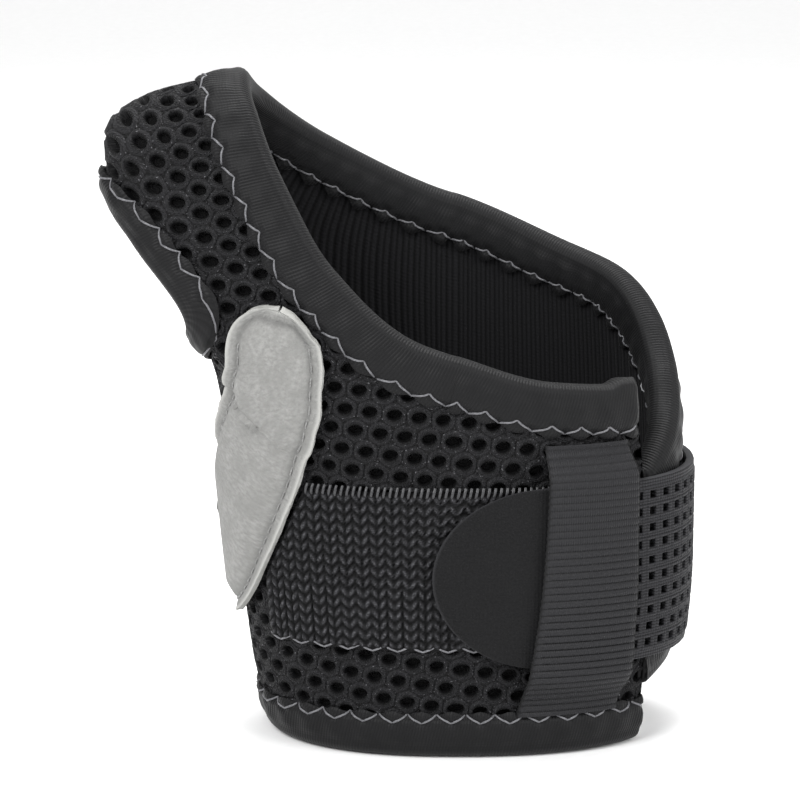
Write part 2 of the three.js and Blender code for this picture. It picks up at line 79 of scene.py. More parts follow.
# Driving sizes of the wrap, the same as the solids have
WEB_HEIGHT = 110 * MM
RADIAL_REACH = 41 * MM
ULNAR_REACH = 36.6 * MM
HALF_DEPTH = 22.5 * MM
WEB_REACH = 22.2 * MM
ROUNDNESS = 0.87
PALM_END_TURN = 150
PALM_LEAN = -10
BACK_END_TURN = -210
BACK_LEAN = -5
LEAN_SPAN = 40
ULNAR_NOTCH = 12.5 * MM
FOOT_HEIGHT = 14 * MM

MESH_THICKNESS = 1.5 * MM
LINING_THICKNESS = 0.9 * MM
LAYER_GAP = 0.4 * MM
WALL_THICKNESS = MESH_THICKNESS + LAYER_GAP + LINING_THICKNESS

TAPE_THICKNESS = 0.7 * MM
TAPE_GAP = 0.5 * MM
THUMB_TAPE_GAP = 0.8 * MM
HAND_TAPE_WIDTH = 8.5 * MM
WRIST_TAPE_WIDTH = 8 * MM
THUMB_TAPE_WIDTH = 6.5 * MM

HOLE_RISE = 0.618
HOLE_HALF_RISE = 0.073
HOLE_SIDE_RISE = 0.675
HOLE_HALF_TURN = 36

PATCH_THICKNESS = 1.1 * MM
PATCH_GAP = 0.86 * MM
PATCH_RIM = 3 * MM
PATCH_END_LENGTH = 6.5 * MM
PATCH_HALF_WIDTH = 13 * MM
STAY_THICKNESS = 0.9 * MM

BAND_BOTTOM = 18.6 * MM
BAND_HEIGHT = 26.4 * MM
BAND_THICKNESS = 0.8 * MM
BAND_GAP = 0.65 * MM
BAND_CLEARANCE = 0.45 * MM
BAND_END_TURN = 128

STRAP_BOTTOM = 16 * MM
STRAP_HEIGHT = 30 * MM
STRAP_THICKNESS = 1.6 * MM
STRAP_GAP = 0.4 * MM
STRAP_PALM_TURN = 121
STRAP_BACK_TURN = 258
STRAP_DROP_TURN = 204
STRAP_DROP_SPAN = 25
STRAP_LIFT = BAND_GAP + BAND_THICKNESS + STRAP_GAP
TAB_LENGTH = 24.5 * MM
TAB_SHOULDER = 0.25
TAB_THICKNESS = 1.2 * MM
TAB_JOINT = 0.4 * MM
RIBBON_LEFT_TURN = 109
RIBBON_RIGHT_TURN = 135
RIBBON_FLARE = 6
RIBBON_THICKNESS = 0.7 * MM
RIBBON_GAP = 0.35 * MM
RIBBON_JOINT = 0.4 * MM
RIBBON_EASE = 1 * MM


def table(columns, *rows):
    """A short table as one array for each named column."""
    return {name: np.array(values, float) for name, values in zip(columns.split(), zip(*rows))}


# Plan of the wrap at heights above the wrist edge, as shares of the sizes named above
BODY_SECTIONS = table(
    "height radial ulnar depth",
    (0, 0.745, 0.915, 0.95),
    (0.11, 0.825, 0.965, 0.98),
    (0.27, 0.875, 1, 1),
    (0.41, 0.91, 1, 1),
    (0.54, 0.955, 0.98, 1),
    (0.63, 0.98, 0.96, 0.985),
    (0.73, 0.95, 0.95, 0.96),
    (0.82, 0.89, 0.945, 0.95),
    (1, 0.83, 0.94, 0.94),
)

# The thumb side's own way up: climb is the share of the height, overhang the share of WEB_REACH
WEB_PROFILE = table(
    "rise climb overhang",
    (0, 0, 0),
    (0.25, 0.3, 0),
    (0.42, 0.505, 0),
    (0.54, 0.64, 0.1),
    (0.63, 0.745, 0.56),
    (0.73, 0.845, 0.945),
    (0.81, 0.915, 1),
    (0.885, 0.962, 0.75),
    (1, 1, 0),
)

# Hand edge round the wrap, as shares of WEB_HEIGHT
HAND_EDGE = table(
    "turn height",
    (-210, 0.425),
    (-188, 0.51),
    (-178, 0.565),
    (-164, 0.627),
    (-145, 0.682),
    (-118, 0.727),
    (-94, 0.784),
    (-56, 0.888),
    (-22, 0.97),
    (0, 1),
    (18, 0.965),
    (37, 0.877),
    (63, 0.727),
    (84, 0.624),
    (113, 0.567),
    (150, 0.556),
)

# Wrist edge round the wrap, as shares of ULNAR_NOTCH
WRIST_EDGE = table(
    "turn height",
    (-210, 0.76),
    (-198, 0.9),
    (-182, 1),
    (-160, 0.55),
    (-136, 0),
    (150, 0),
)

# Middle line of the suede patch: height as a share of WEB_HEIGHT, half width of PATCH_HALF_WIDTH
PATCH_LINE = table(
    "order turn height half_width",
    (0, 58, 0.672, 0.55),
    (1, 58, 0.6, 0.6),
    (2, 54, 0.54, 0.65),
    (3, 42.5, 0.497, 0.69),
    (4, 29, 0.428, 0.8),
    (5, 16, 0.358, 0.88),
    (6, 2, 0.292, 0.92),
    (7, -11, 0.275, 0.9),
    (8, -25, 0.328, 0.85),
    (9, -38, 0.43, 0.76),
    (10, -50, 0.56, 0.64),
    (11, -57, 0.67, 0.55),
    (12, -58, 0.765, 0.46),
)


def linear(code):
    """An sRGB hex colour as Blender's linear RGBA."""
    shares = [int(code[i : i + 2], 16) / 255 for i in (0, 2, 4)]
    return [c / 12.92 if c <= 0.04045 else ((c + 0.055) / 1.055) ** 2.4 for c in shares] + [1.0]


# Shape of the wrap

def follow(rows, along, column, at):
    """A smooth curve through one column of a table, with no swing past its rows."""
    xs, ys = rows[along], rows[column]
    step = np.diff(xs)
    slope = np.diff(ys) / step
    product = slope[:-1] * slope[1:]
    total = np.where(product > 0, slope[:-1] + slope[1:], 1.0)
    inner = np.where(product > 0, 2 * product / total, 0.0)
    slopes = np.concatenate([slope[:1], inner, slope[-1:]])
    at = np.clip(at, xs[0], xs[-1])
    k = np.clip(np.searchsorted(xs, at, side="right") - 1, 0, len(step) - 1)
    t = (at - xs[k]) / step[k]
    start = ys[k] * (1 + 2 * t) * (1 - t) ** 2 + slopes[k] * step[k] * t * (1 - t) ** 2
    end = ys[k + 1] * t * t * (3 - 2 * t) + slopes[k + 1] * step[k] * t * t * (t - 1)
    return start + end


def smooth_step(value):
    t = np.clip(value, 0, 1)
    return t * t * (3 - 2 * t)


def mix(start, end, share):
    return start + (end - start) * share


def unit(vectors):
    return vectors / np.linalg.norm(vectors, axis=-1, keepdims=True)


def fitted_place():
    """Where the wrap's own middle lies in the frame, read from two of its solids."""
    strap_face = ULNAR_REACH + STRAP_LIFT + STRAP_THICKNESS
    return np.array([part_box("elastic_strap")[1].x - strap_face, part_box("mesh_shell")[0].y + HALF_DEPTH, 0.0])


MIDDLE = fitted_place()


def body_point(turn, height):
    """A point on the outer face of the plain body, without the bridge's overhang."""
    share = height / WEB_HEIGHT
    across = np.cos(np.radians(turn))
    along = np.sin(np.radians(turn))
    radial = RADIAL_REACH * follow(BODY_SECTIONS, "height", "radial", share)
    ulnar = ULNAR_REACH * follow(BODY_SECTIONS, "height", "ulnar", share)
    depth = HALF_DEPTH * follow(BODY_SECTIONS, "height", "depth", share)
    x = -np.where(across > 0, radial, ulnar) * np.sign(across) * np.abs(across) ** ROUNDNESS
    y = -depth * np.sign(along) * np.abs(along) ** ROUNDNESS
    return np.stack([x, y, height + 0 * x], axis=-1) + MIDDLE


def web_weight(turn):
    return np.where(np.abs(turn) < 90, np.cos(np.radians(turn)) ** 2, 0.0)


def hand_height(turn):
    return WEB_HEIGHT * follow(HAND_EDGE, "turn", "height", turn)


def wrist_height(turn):
    return ULNAR_NOTCH * follow(WRIST_EDGE, "turn", "height", turn)


def height_at(turn, rise):
    climb = mix(rise, follow(WEB_PROFILE, "rise", "climb", rise), web_weight(turn))
    return mix(wrist_height(turn), hand_height(turn), climb)


def rise_at(turn, height):
    low = np.zeros_like(turn)
    high = np.ones_like(turn)
    for _ in range(24):
        middle = (low + high) / 2
        below = height_at(turn, middle) < height
        low = np.where(below, middle, low)
        high = np.where(below, high, middle)
    return (low + high) / 2


def leant(turn, rise):
    """The turn that a place really has: the two ends of the wrap lean as they rise."""
    palm_share = smooth_step((turn - PALM_END_TURN + LEAN_SPAN) / LEAN_SPAN)
    back_share = smooth_step((BACK_END_TURN - turn + LEAN_SPAN) / LEAN_SPAN)
    return turn + rise * (PALM_LEAN * palm_share + BACK_LEAN * back_share)


def skin(turn, rise):
    """A point on the outer face of the wrap."""
    points = body_point(leant(turn, rise), height_at(turn, rise))
    points[..., 0] -= WEB_REACH * follow(WEB_PROFILE, "rise", "overhang", rise) * web_weight(turn)
    return points


def skin_frame(turn, rise):
    """How the outer face runs: along the turn, along the rise, and outwards."""
    turn_step = 0.4
    above = np.minimum(1, rise + 0.004)
    below = np.maximum(0, rise - 0.004)
    along_turn = (skin(turn + turn_step, rise) - skin(turn - turn_step, rise)) / (2 * turn_step)
    along_rise = (skin(turn, above) - skin(turn, below)) / (above - below)[..., None]
    outward = unit(np.cross(along_turn, along_rise))
    outward[..., 2] *= smooth_step(height_at(turn, rise) / FOOT_HEIGHT)
    return along_turn, along_rise, unit(outward)


def on_skin(turn, rise, lift):
    return skin(turn, rise) + skin_frame(turn, rise)[2] * np.asarray(lift)[..., None]


def on_body(turn, height, lift):
    """A point over the plain body, for the pieces on the palm and the little-finger side."""
    turn_step, height_step = 0.4, 0.4 * MM
    along_turn = body_point(turn + turn_step, height) - body_point(turn - turn_step, height)
    along_height = body_point(turn, height + height_step) - body_point(turn, height - height_step)
    outward = unit(np.cross(along_turn, along_height))
    outward[..., 2] *= smooth_step(height / FOOT_HEIGHT)
    return body_point(turn, height) + unit(outward) * np.asarray(lift)[..., None]


def walk(turn, rise, direction, distance):
    """The places reached by walking a distance over the face in a direction."""
    steps = max(1, ceil(np.abs(distance).max() / (1.5 * MM)))
    for _ in range(steps):
        along_turn, along_rise, outward = skin_frame(turn, rise)
        heading = unit(direction - outward * (direction * outward).sum(-1, keepdims=True))
        tt = (along_turn * along_turn).sum(-1)
        tr = (along_turn * along_rise).sum(-1)
        rr = (along_rise * along_rise).sum(-1)
        by_turn = (along_turn * heading).sum(-1) * distance / steps
        by_rise = (along_rise * heading).sum(-1) * distance / steps
        area = tt * rr - tr * tr
        turn = turn + (by_turn * rr - by_rise * tr) / area
        rise = np.clip(rise + (by_rise * tt - by_turn * tr) / area, 0, 1)
    return turn, rise


def beside(path, at, distance, nudge):
    """The places at a distance from a path, square to it: positive to the left of its way."""
    turn, rise = path(at)
    way = unit(skin(*path(at + nudge)) - skin(*path(at - nudge)))
    outward = skin_frame(turn, rise)[2]
    return walk(turn, rise, np.cross(outward, way), distance)


def hand_path(turn):
    return turn, np.ones_like(turn)


def wrist_path(turn):
    return turn, np.zeros_like(turn)


def thumb_path(angle):
    turn = -HOLE_HALF_TURN * np.cos(angle)
    rise = mix(HOLE_RISE, HOLE_SIDE_RISE, np.cos(angle) ** 2) + HOLE_HALF_RISE * np.sin(angle)
    return turn, rise


def from_hand_edge(turn, distance):
    return beside(hand_path, turn, -distance, 0.2)


def from_wrist_edge(turn, distance):
    return beside(wrist_path, turn, distance, 0.2)


def from_thumb_edge(angle, distance):
    return beside(thumb_path, angle, distance, 0.02)


def patch_path(share):
    at = np.clip(share, 0, 1) * PATCH_LINE["order"][-1]
    turn = follow(PATCH_LINE, "order", "turn", at)
    return turn, rise_at(turn, WEB_HEIGHT * follow(PATCH_LINE, "order", "height", at))


def patch_width(share):
    at = np.clip(share, 0, 1) * PATCH_LINE["order"][-1]
    return PATCH_HALF_WIDTH * follow(PATCH_LINE, "order", "half_width", at)


def lengths_along(points):
    """How far each of a row of points lies along the row."""
    steps = np.linalg.norm(np.diff(points, axis=0), axis=-1)
    return np.concatenate([[0.0], np.cumsum(steps)])


class Ruler:
    """Turns a length along a path into the path's own measure."""

    def __init__(self, path, start, end, samples=500):
        self.measures = np.linspace(start, end, samples)
        self.lengths = lengths_along(skin(*path(self.measures)))
        self.length = self.lengths[-1]

    def at(self, length):
        rate = (self.measures[-1] - self.measures[0]) / self.length
        inside = np.interp(length, self.lengths, self.measures)
        return inside + rate * (np.minimum(length, 0) + np.maximum(length - self.length, 0))


def bilinear(values, column, row):
    c = np.clip(column.astype(int), 0, values.shape[0] - 2)
    r = np.clip(row.astype(int), 0, values.shape[1] - 2)
    across = column - c
    upward = row - r
    low = mix(values[c, r], values[c + 1, r], across)
    high = mix(values[c, r + 1], values[c + 1, r + 1], across)
    return mix(low, high, upward)


def in_hole(turn, rise, margin=0.0):
    """Whether a place lies in the thumb hole, or nearer to it than a margin of the rise."""
    level = mix(HOLE_RISE, HOLE_SIDE_RISE, np.clip(turn / HOLE_HALF_TURN, -1, 1) ** 2)
    half = (HOLE_HALF_RISE + margin) * np.sqrt(np.clip(1 - (turn / HOLE_HALF_TURN) ** 2, 0, 1))
    return np.abs(rise - level) < half


def laid_flat(grid, outward, first, cut):
    """A curved grid of cloth laid flat, its steps kept as true as they can be: settled from a first guess,
    by turning each place's own steps to fit the sheet and then moving every place to fit the steps."""
    number = np.arange(grid.shape[0] * grid.shape[1]).reshape(grid.shape[:2])
    pairs = [
        (number[:-1], number[1:]),
        (number[:, :-1], number[:, 1:]),
        (number[:-1, :-1], number[1:, 1:]),
        (number[1:, :-1], number[:-1, 1:]),
    ]
    a = np.concatenate([one.ravel() for one, _ in pairs] + [other.ravel() for _, other in pairs])
    b = np.concatenate([other.ravel() for _, other in pairs] + [one.ravel() for one, _ in pairs])
    back = (np.arange(len(a)) + len(a) // 2) % len(a)
    points, normal = grid.reshape(-1, 3), outward.reshape(-1, 3)
    across = unit(np.cross((0.0, 0.0, 1.0), normal))
    upward = np.cross(normal, across)
    steps = points[b] - points[a]
    true = np.column_stack([(steps * across[a]).sum(1), (steps * upward[a]).sum(1)])
    true *= (np.linalg.norm(steps, axis=1) / np.linalg.norm(true, axis=1))[:, None]
    hold = np.where(cut.ravel()[a] | cut.ravel()[b], 0.02, 1.0)
    ties = np.zeros((len(points), len(points)))
    np.add.at(ties, (a, a), hold)
    np.add.at(ties, (a, b), -hold)
    ties[0, 0] += 1.0
    solve = np.linalg.inv(ties)
    flat = first.reshape(-1, 2)
    for _ in range(60):
        now = flat[b] - flat[a]
        straight = np.bincount(a, hold * (true * now).sum(1))
        askew = np.bincount(a, hold * (true[:, 0] * now[:, 1] - true[:, 1] * now[:, 0]))
        angle = np.arctan2(askew, straight)[a]
        turned = np.column_stack([
            np.cos(angle) * true[:, 0] - np.sin(angle) * true[:, 1],
            np.sin(angle) * true[:, 0] + np.cos(angle) * true[:, 1],
        ])
        wanted = hold[:, None] * (turned - turned[back]) / 2
        pull = np.column_stack([np.bincount(a, -wanted[:, axis]) for axis in range(2)])
        pull[0] += first[0, 0]
        flat = solve @ pull
    return flat.reshape(first.shape)


class Panel:
    """The wrap laid flat, as its cloth was cut: along it from the thumb side, and up it from the wrist."""

    def __init__(self):
        self.turns = np.linspace(-226, 166, 99)
        self.rises = np.linspace(0, 1, 27)
        turn, rise = np.meshgrid(self.turns, self.rises, indexing="ij")
        grid = skin(turn, rise)
        self.along = lengths_along(body_point(self.turns, np.full_like(self.turns, 0.32 * WEB_HEIGHT)))
        self.along -= np.interp(0, self.turns, self.along)
        climbs = np.cumsum(np.linalg.norm(np.diff(grid, axis=1), axis=-1), axis=1)
        feet = wrist_height(self.turns)[:, None]
        up = np.concatenate([feet, feet + climbs], axis=1)
        first = np.stack([self.along[:, None] + 0 * up, up], axis=-1)
        self.sheet = laid_flat(grid, skin_frame(turn, rise)[2], first, in_hole(turn, rise))
        turn, rise = np.meshgrid(np.linspace(-226, 166, 393), np.linspace(0, 1, 105), indexing="ij")
        self.samples = np.column_stack([turn.ravel(), rise.ravel()])
        self.tree = KDTree(len(self.samples))
        for index, (x, y) in enumerate(np.column_stack(self.flat(*self.samples.T)).tolist()):
            self.tree.insert((x, y, 0), index)
        self.tree.balance()

    def flat(self, turn, rise):
        """Where a place lies on the flat panel."""
        column = (turn - self.turns[0]) / (self.turns[1] - self.turns[0])
        row = rise * (len(self.rises) - 1)
        return bilinear(self.sheet[..., 0], column, row), bilinear(self.sheet[..., 1], column, row)

    def place(self, along, up):
        """The turn and rise of points of the flat panel; a point past its border comes to the border."""
        wanted = np.column_stack([along, up])
        found = [self.tree.find((x, y, 0))[1] for x, y in wanted.tolist()]
        turn, rise = self.samples[found].T
        nudge_turn, nudge_rise = 1.0, 0.01
        for _ in range(3):
            here = np.column_stack(self.flat(turn, rise))
            by_turn = (np.column_stack(self.flat(turn + nudge_turn, rise)) - here) / nudge_turn
            by_rise = (here - np.column_stack(self.flat(turn, rise - nudge_rise))) / nudge_rise
            miss = wanted - here
            area = by_turn[:, 0] * by_rise[:, 1] - by_turn[:, 1] * by_rise[:, 0]
            step_turn = (miss[:, 0] * by_rise[:, 1] - miss[:, 1] * by_rise[:, 0]) / area
            step_rise = (by_turn[:, 0] * miss[:, 1] - by_turn[:, 1] * miss[:, 0]) / area
            turn = np.clip(turn + np.clip(step_turn, -2, 2), self.turns[0], self.turns[-1] - nudge_turn)
            rise = np.clip(rise + np.clip(step_rise, -0.02, 0.02), nudge_rise, 1)
        return turn, rise


PANEL = Panel()


# Making and finishing a piece

def ripple(at, seed, shortest):
    """Uneven waves from -1 to 1 along a length, the same on every run."""
    draw = np.random.default_rng(seed)
    total = np.zeros_like(at)
    for octave in range(4):
        wave = shortest * (1 + 1.7 * octave)
        total = total + np.sin(2 * pi * (at / wave + draw.random()))
    return total / 4


def points_of(piece):
    flat = np.empty(len(piece.data.vertices) * 3, np.float32)
    piece.data.vertices.foreach_get("co", flat)
    return flat.reshape(-1, 3).astype(float)


def move_points(piece, points):
    piece.data.vertices.foreach_set("co", np.asarray(points, np.float32).ravel())
    piece.data.update()


def store_uv(piece, name, values):
    """Keeps a pair of numbers for each point as a UV map, in millimetres of cloth."""
    layer = piece.data.uv_layers.get(name) or piece.data.uv_layers.new(name=name)
    corners = np.empty(len(piece.data.loops), np.int32)
    piece.data.loops.foreach_get("vertex_index", corners)
    layer.data.foreach_set("uv", np.asarray(values, np.float32)[corners].ravel())


def store_mask(piece, name, values):
    """Keeps a number from 0 to 1 for each point, which a material reads by its name."""
    mask = piece.data.attributes.new(name, "FLOAT", "POINT")
    mask.data.foreach_set("value", np.asarray(values, np.float32))


def only(piece):
    """Makes a piece the one that is selected and active."""
    if bpy.context.object and bpy.context.object.mode != "OBJECT":
        bpy.ops.object.mode_set(mode="OBJECT")
    bpy.ops.object.select_all(action="DESELECT")
    piece.select_set(True)
    bpy.context.view_layer.objects.active = piece


def pick(piece, points=None, faces=None):
    """Opens a piece in edit mode with the given points or faces selected."""
    only(piece)
    mesh = piece.data
    for part in (mesh.vertices, mesh.edges, mesh.polygons):
        part.foreach_set("select", np.zeros(len(part), bool))
    if points is not None:
        mesh.vertices.foreach_set("select", np.asarray(points, bool))
    if faces is not None:
        mesh.polygons.foreach_set("select", np.asarray(faces, bool))
    bpy.ops.object.mode_set(mode="EDIT")
    bpy.ops.mesh.select_mode(type="VERT" if faces is None else "FACE")


def edit_all(piece):
    only(piece)
    bpy.ops.object.mode_set(mode="EDIT")
    bpy.ops.mesh.select_all(action="SELECT")


def done(piece):
    bpy.ops.object.mode_set(mode="OBJECT")
    return piece


def modify(piece, kind, **settings):
    """Adds a modifier and applies it."""
    only(piece)
    modifier = piece.modifiers.new(kind.title(), kind)
    for name, value in settings.items():
        setattr(modifier, name, value)
    bpy.ops.object.modifier_apply(modifier=modifier.name)


def flat_grid(name, columns, rows):
    """A grid of faces over the unit square, to be cut and laid as cloth."""
    bpy.ops.object.select_all(action="DESELECT")
    bpy.ops.mesh.primitive_grid_add(
        x_subdivisions=columns, y_subdivisions=rows, size=1, location=(0.5, 0.5, 0)
    )
    piece = bpy.context.object
    bpy.ops.object.transform_apply(location=True, rotation=True, scale=True)
    piece.name = name
    piece.data.name = name
    while piece.data.uv_layers:
        piece.data.uv_layers.remove(piece.data.uv_layers[0])
    return piece


def dress(piece, material, slot, *nodes, smooth_angle=60):
    """Gives a finished piece its material, its body, and the solids that it stands for; its slot is not used."""
    only(piece)
    bpy.ops.object.shade_smooth_by_angle(angle=radians(smooth_angle))
    piece.data.materials.clear()
    piece.data.materials.append(material)
    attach(piece, "root")
    if nodes:
        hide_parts(*nodes)
    return piece


def thread_runs(name, runs, radius, sides=6):
    """Many short threads as one mesh: each run is a row of points that the thread follows."""
    curve = bpy.data.curves.new(name, "CURVE")
    curve.dimensions = "3D"
    curve.bevel_depth = radius
    curve.bevel_resolution = max(0, sides // 2 - 2)
    curve.use_fill_caps = True
    curve.resolution_u = 2
    for run in runs:
        spline = curve.splines.new("POLY")
        spline.points.add(len(run) - 1)
        spline.points.foreach_set("co", np.column_stack([run, np.ones(len(run))]).ravel())
    piece = bpy.data.objects.new(name, curve)
    bpy.context.scene.collection.objects.link(piece)
    only(piece)
    bpy.ops.object.convert(target="MESH")
    piece = bpy.context.object
    piece.name = name
    piece.data.name = name
    return piece


# Materials

def add_node(tree, kind, inputs=None, **settings):
    """Adds a node with its settings, its values and its links."""
    node = tree.nodes.new(kind)
    for name, value in settings.items():
        setattr(node, name, value)
    for name, value in (inputs or {}).items():
        if isinstance(value, bpy.types.NodeSocket):
            tree.links.new(value, node.inputs[name])
        else:
            node.inputs[name].default_value = value
    return node


def start_material(name, **settings):
    """A new material, its tree and its shader with the given plain values."""
    material = bpy.data.materials.new(name)
    material.use_nodes = True
    tree = material.node_tree
    shader = tree.nodes["Principled BSDF"]
    for socket, value in settings.items():
        shader.inputs[socket.replace("_", " ").title().replace("Ior", "IOR")].default_value = value
    return material, tree, shader


# Yarn and nap break up the mirror light, so a cloth shows about a quarter of a smooth plastic's
CLOTH_SPECULAR = 0.12


def start_cloth(name, roughness, sheen, **settings):
    """A new material for cloth: dull, with a little sheen and hardly any mirror light."""
    settings.update(roughness=roughness, sheen_weight=sheen, specular_ior_level=CLOTH_SPECULAR)
    return start_material(name, **settings)


def paint(tree, shader, colour):
    tree.links.new(colour, shader.inputs["Base Color"])


def stored(tree, name):
    """A mask that was stored on the piece's points, from 0 to 1."""
    return add_node(tree, "ShaderNodeAttribute", attribute_name=name).outputs["Fac"]


def cloth_uv(tree, name="Cloth"):
    """The piece's own cloth coordinates, in millimetres, whole and as two numbers."""
    uv = add_node(tree, "ShaderNodeUVMap", uv_map=name)
    parts = add_node(tree, "ShaderNodeSeparateXYZ", {"Vector": uv.outputs[0]})
    return uv.outputs[0], parts.outputs[0], parts.outputs[1]


def math(tree, operation, *values):
    node = add_node(tree, "ShaderNodeMath", dict(enumerate(values)), operation=operation)
    return node.outputs[0]


def waves(tree, at, pitch):
    """Even ridges from 0 to 1, one for each pitch in millimetres."""
    turned = math(tree, "MULTIPLY", at, 2 * pi / pitch)
    return math(tree, "MULTIPLY_ADD", math(tree, "SINE", turned), 0.5, 0.5)


def speckle(tree, vector, size, detail=2.0):
    """Noise whose grains are about a size in the vector's own units."""
    noise = add_node(
        tree,
        "ShaderNodeTexNoise",
        {"Vector": vector, "Scale": 1 / size, "Detail": detail, "Roughness": 0.6},
    )
    return noise.outputs[0]


def blend_colours(tree, share, first, second):
    node = add_node(
        tree,
        "ShaderNodeMix",
        {"Factor": share, 6: first, 7: second},
        data_type="RGBA",
    )
    return node.outputs[2]


def span(tree, value, low, high):
    """A value's place between two limits, from 0 to 1, eased at both ends."""
    node = add_node(
        tree,
        "ShaderNodeMapRange",
        {"Value": value, "From Min": low, "From Max": high},
        interpolation_type="SMOOTHSTEP",
    )
    return node.outputs[0]


def bump(tree, shader, height, depth, after=None):
    """Relief of a depth in metres."""
    inputs = {"Height": height, "Distance": depth, "Strength": 1.0}
    if after is not None:
        inputs["Normal"] = after
    node = add_node(tree, "ShaderNodeBump", inputs)
    tree.links.new(node.outputs[0], shader.inputs["Normal"])
    return node.outputs[0]


def spacer_mesh_yarn(colours):
    """Knitted polyester spacer mesh: dull black multifilament looped round each hole, with painted shade in the
    holes and in the valleys between them.
    """
    material, tree, shader = start_cloth("Polyester_spacer_mesh", 0.55, 0.02)
    _, across, upward = cloth_uv(tree, "Cell")
    cloth, _, _ = cloth_uv(tree)
    squares = (math(tree, "POWER", side, 2) for side in (across, upward))
    distance = math(tree, "SQRT", math(tree, "ADD", *squares))
    angle = math(tree, "ARCTAN2", upward, across)
    filament_pitch = 0.42
    lay = math(tree, "MULTIPLY_ADD", angle, 4 * filament_pitch / (2 * pi), distance)
    loops = math(tree, "MULTIPLY", waves(tree, lay, filament_pitch), waves(tree, angle, 2 * pi / 18))
    grain = speckle(tree, cloth, 0.3)
    flecks = span(tree, speckle(tree, cloth, 0.42, 3.0), 0.54, 0.72)
    wide = speckle(tree, cloth, 9)
    # Painted shade: the floor of each hole is near black, easing to the yarn's colour between 0.9 and 1.7 mm
    # from its middle
    outside = span(tree, distance, 0.9, 1.7)
    lit = blend_colours(tree, wide, linear(colours.mesh), linear(colours.mesh_light))
    # Bright flecks on the raised loops only: partly worn fibres, partly painted highlight
    worn = math(tree, "MULTIPLY", flecks, span(tree, loops, 0.15, 0.6))
    # Painted shade in the low valleys between the raised yarn rings, beyond 1.75 mm from each hole's middle
    valley = blend_colours(tree, span(tree, distance, 1.75, 2.15), lit, linear("0a0a0b"))
    flecked = blend_colours(tree, worn, valley, linear("6a6a6d"))
    paint(tree, shader, blend_colours(tree, outside, linear("050506"), flecked))
    height = math(tree, "MULTIPLY_ADD", loops, 1.2, grain)
    bump(tree, shader, height, 0.00016)
    return material


def brushed_lining_knit(colours):
    """Brushed polyester knit: soft black, ribbed, with a faint fuzz along the ribs."""
    material, tree, shader = start_cloth("Brushed_lining_knit", 0.9, 0.02)
    vector, across, upward = cloth_uv(tree)
    ribs = waves(tree, across, 0.85)
    stitches = waves(tree, upward, 0.8)
    grain = speckle(tree, vector, 0.4)
    lit = blend_colours(tree, grain, linear(colours.lining), linear("1d1d1f"))
    # Painted shade in the grooves between the ribs
    shade = blend_colours(tree, span(tree, ribs, 0.0, 0.6), linear("0a0a0b"), lit)
    paint(tree, shader, shade)
    fuzz = math(tree, "MULTIPLY_ADD", stitches, 0.3, grain)
    bump(tree, shader, math(tree, "MULTIPLY_ADD", ribs, 1.5, fuzz), 0.0001)
    return material


def ribbed_binding_tape(colours):
    """Woven nylon binding tape: fine ribs across its width, a low satin light along the fold."""
    material, tree, shader = start_cloth("Ribbed_nylon_binding_tape", 0.5, 0.03)
    vector, along, across = cloth_uv(tree)
    slant = math(tree, "MULTIPLY_ADD", across, 0.22, along)
    ribs = waves(tree, slant, 0.5)
    threads = waves(tree, across, 0.5)
    grain = speckle(tree, vector, 0.3)
    wide = speckle(tree, vector, 7)
    lit = blend_colours(tree, wide, linear(colours.tape), linear(colours.tape_light))
    # Painted shade in the grooves between the ribs
    shade = blend_colours(tree, span(tree, ribs, 0.0, 0.5), linear("101011"), lit)
    paint(tree, shader, shade)
    height = math(tree, "MULTIPLY_ADD", threads, 0.25, math(tree, "MULTIPLY_ADD", grain, 0.4, ribs))
    bump(tree, shader, height, 0.00005)
    return material


def grey_suede(colours):
    """Napped split suede: pale grey, mottled where the nap lies over, with painted shade in the stitch groove,
    lighter on the raw cut rim.
    """
    material, tree, shader = start_cloth("Grey_split_suede", 0.95, 0.08, sheen_roughness=0.6)
    vector, _, _ = cloth_uv(tree)
    rim = stored(tree, "rim")
    groove = stored(tree, "groove")
    brushed = add_node(
        tree, "ShaderNodeMapping", {"Vector": vector, "Scale": (1.0, 0.45, 1.0), "Rotation": (0, 0, 0.35)}
    ).outputs[0]
    nap = speckle(tree, brushed, 0.55, 4.0)
    lay = speckle(tree, vector, 4.5, 3.0)
    body = blend_colours(tree, span(tree, lay, 0.3, 0.7), linear(colours.suede_dark), linear(colours.suede))
    napped = blend_colours(tree, span(tree, nap, 0.25, 0.75), linear("747472"), body)
    # Painted shade in the stitch groove
    sunk = blend_colours(tree, math(tree, "MULTIPLY", groove, 0.55), napped, linear("5c5c5b"))
    paint(tree, shader, blend_colours(tree, rim, sunk, linear(colours.suede_rim)))
    bump(tree, shader, math(tree, "MULTIPLY_ADD", nap, 1.0, math(tree, "MULTIPLY", lay, 0.6)), 0.0003)
    return material


def stay_aluminium():
    """Rolled aluminium strip with a brushed grain along its length."""
    material, tree, shader = start_material("Brushed_aluminium_stay", metallic=1.0, roughness=0.38)
    place = add_node(tree, "ShaderNodeTexCoord").outputs["Object"]
    drawn = add_node(tree, "ShaderNodeMapping", {"Vector": place, "Scale": (1.0, 1.0, 0.06)}).outputs[0]
    grain = speckle(tree, drawn, 0.0004)
    paint(tree, shader, blend_colours(tree, grain, linear("a9abae"), linear("d2d4d7")))
    bump(tree, shader, grain, 0.00002)
    return material


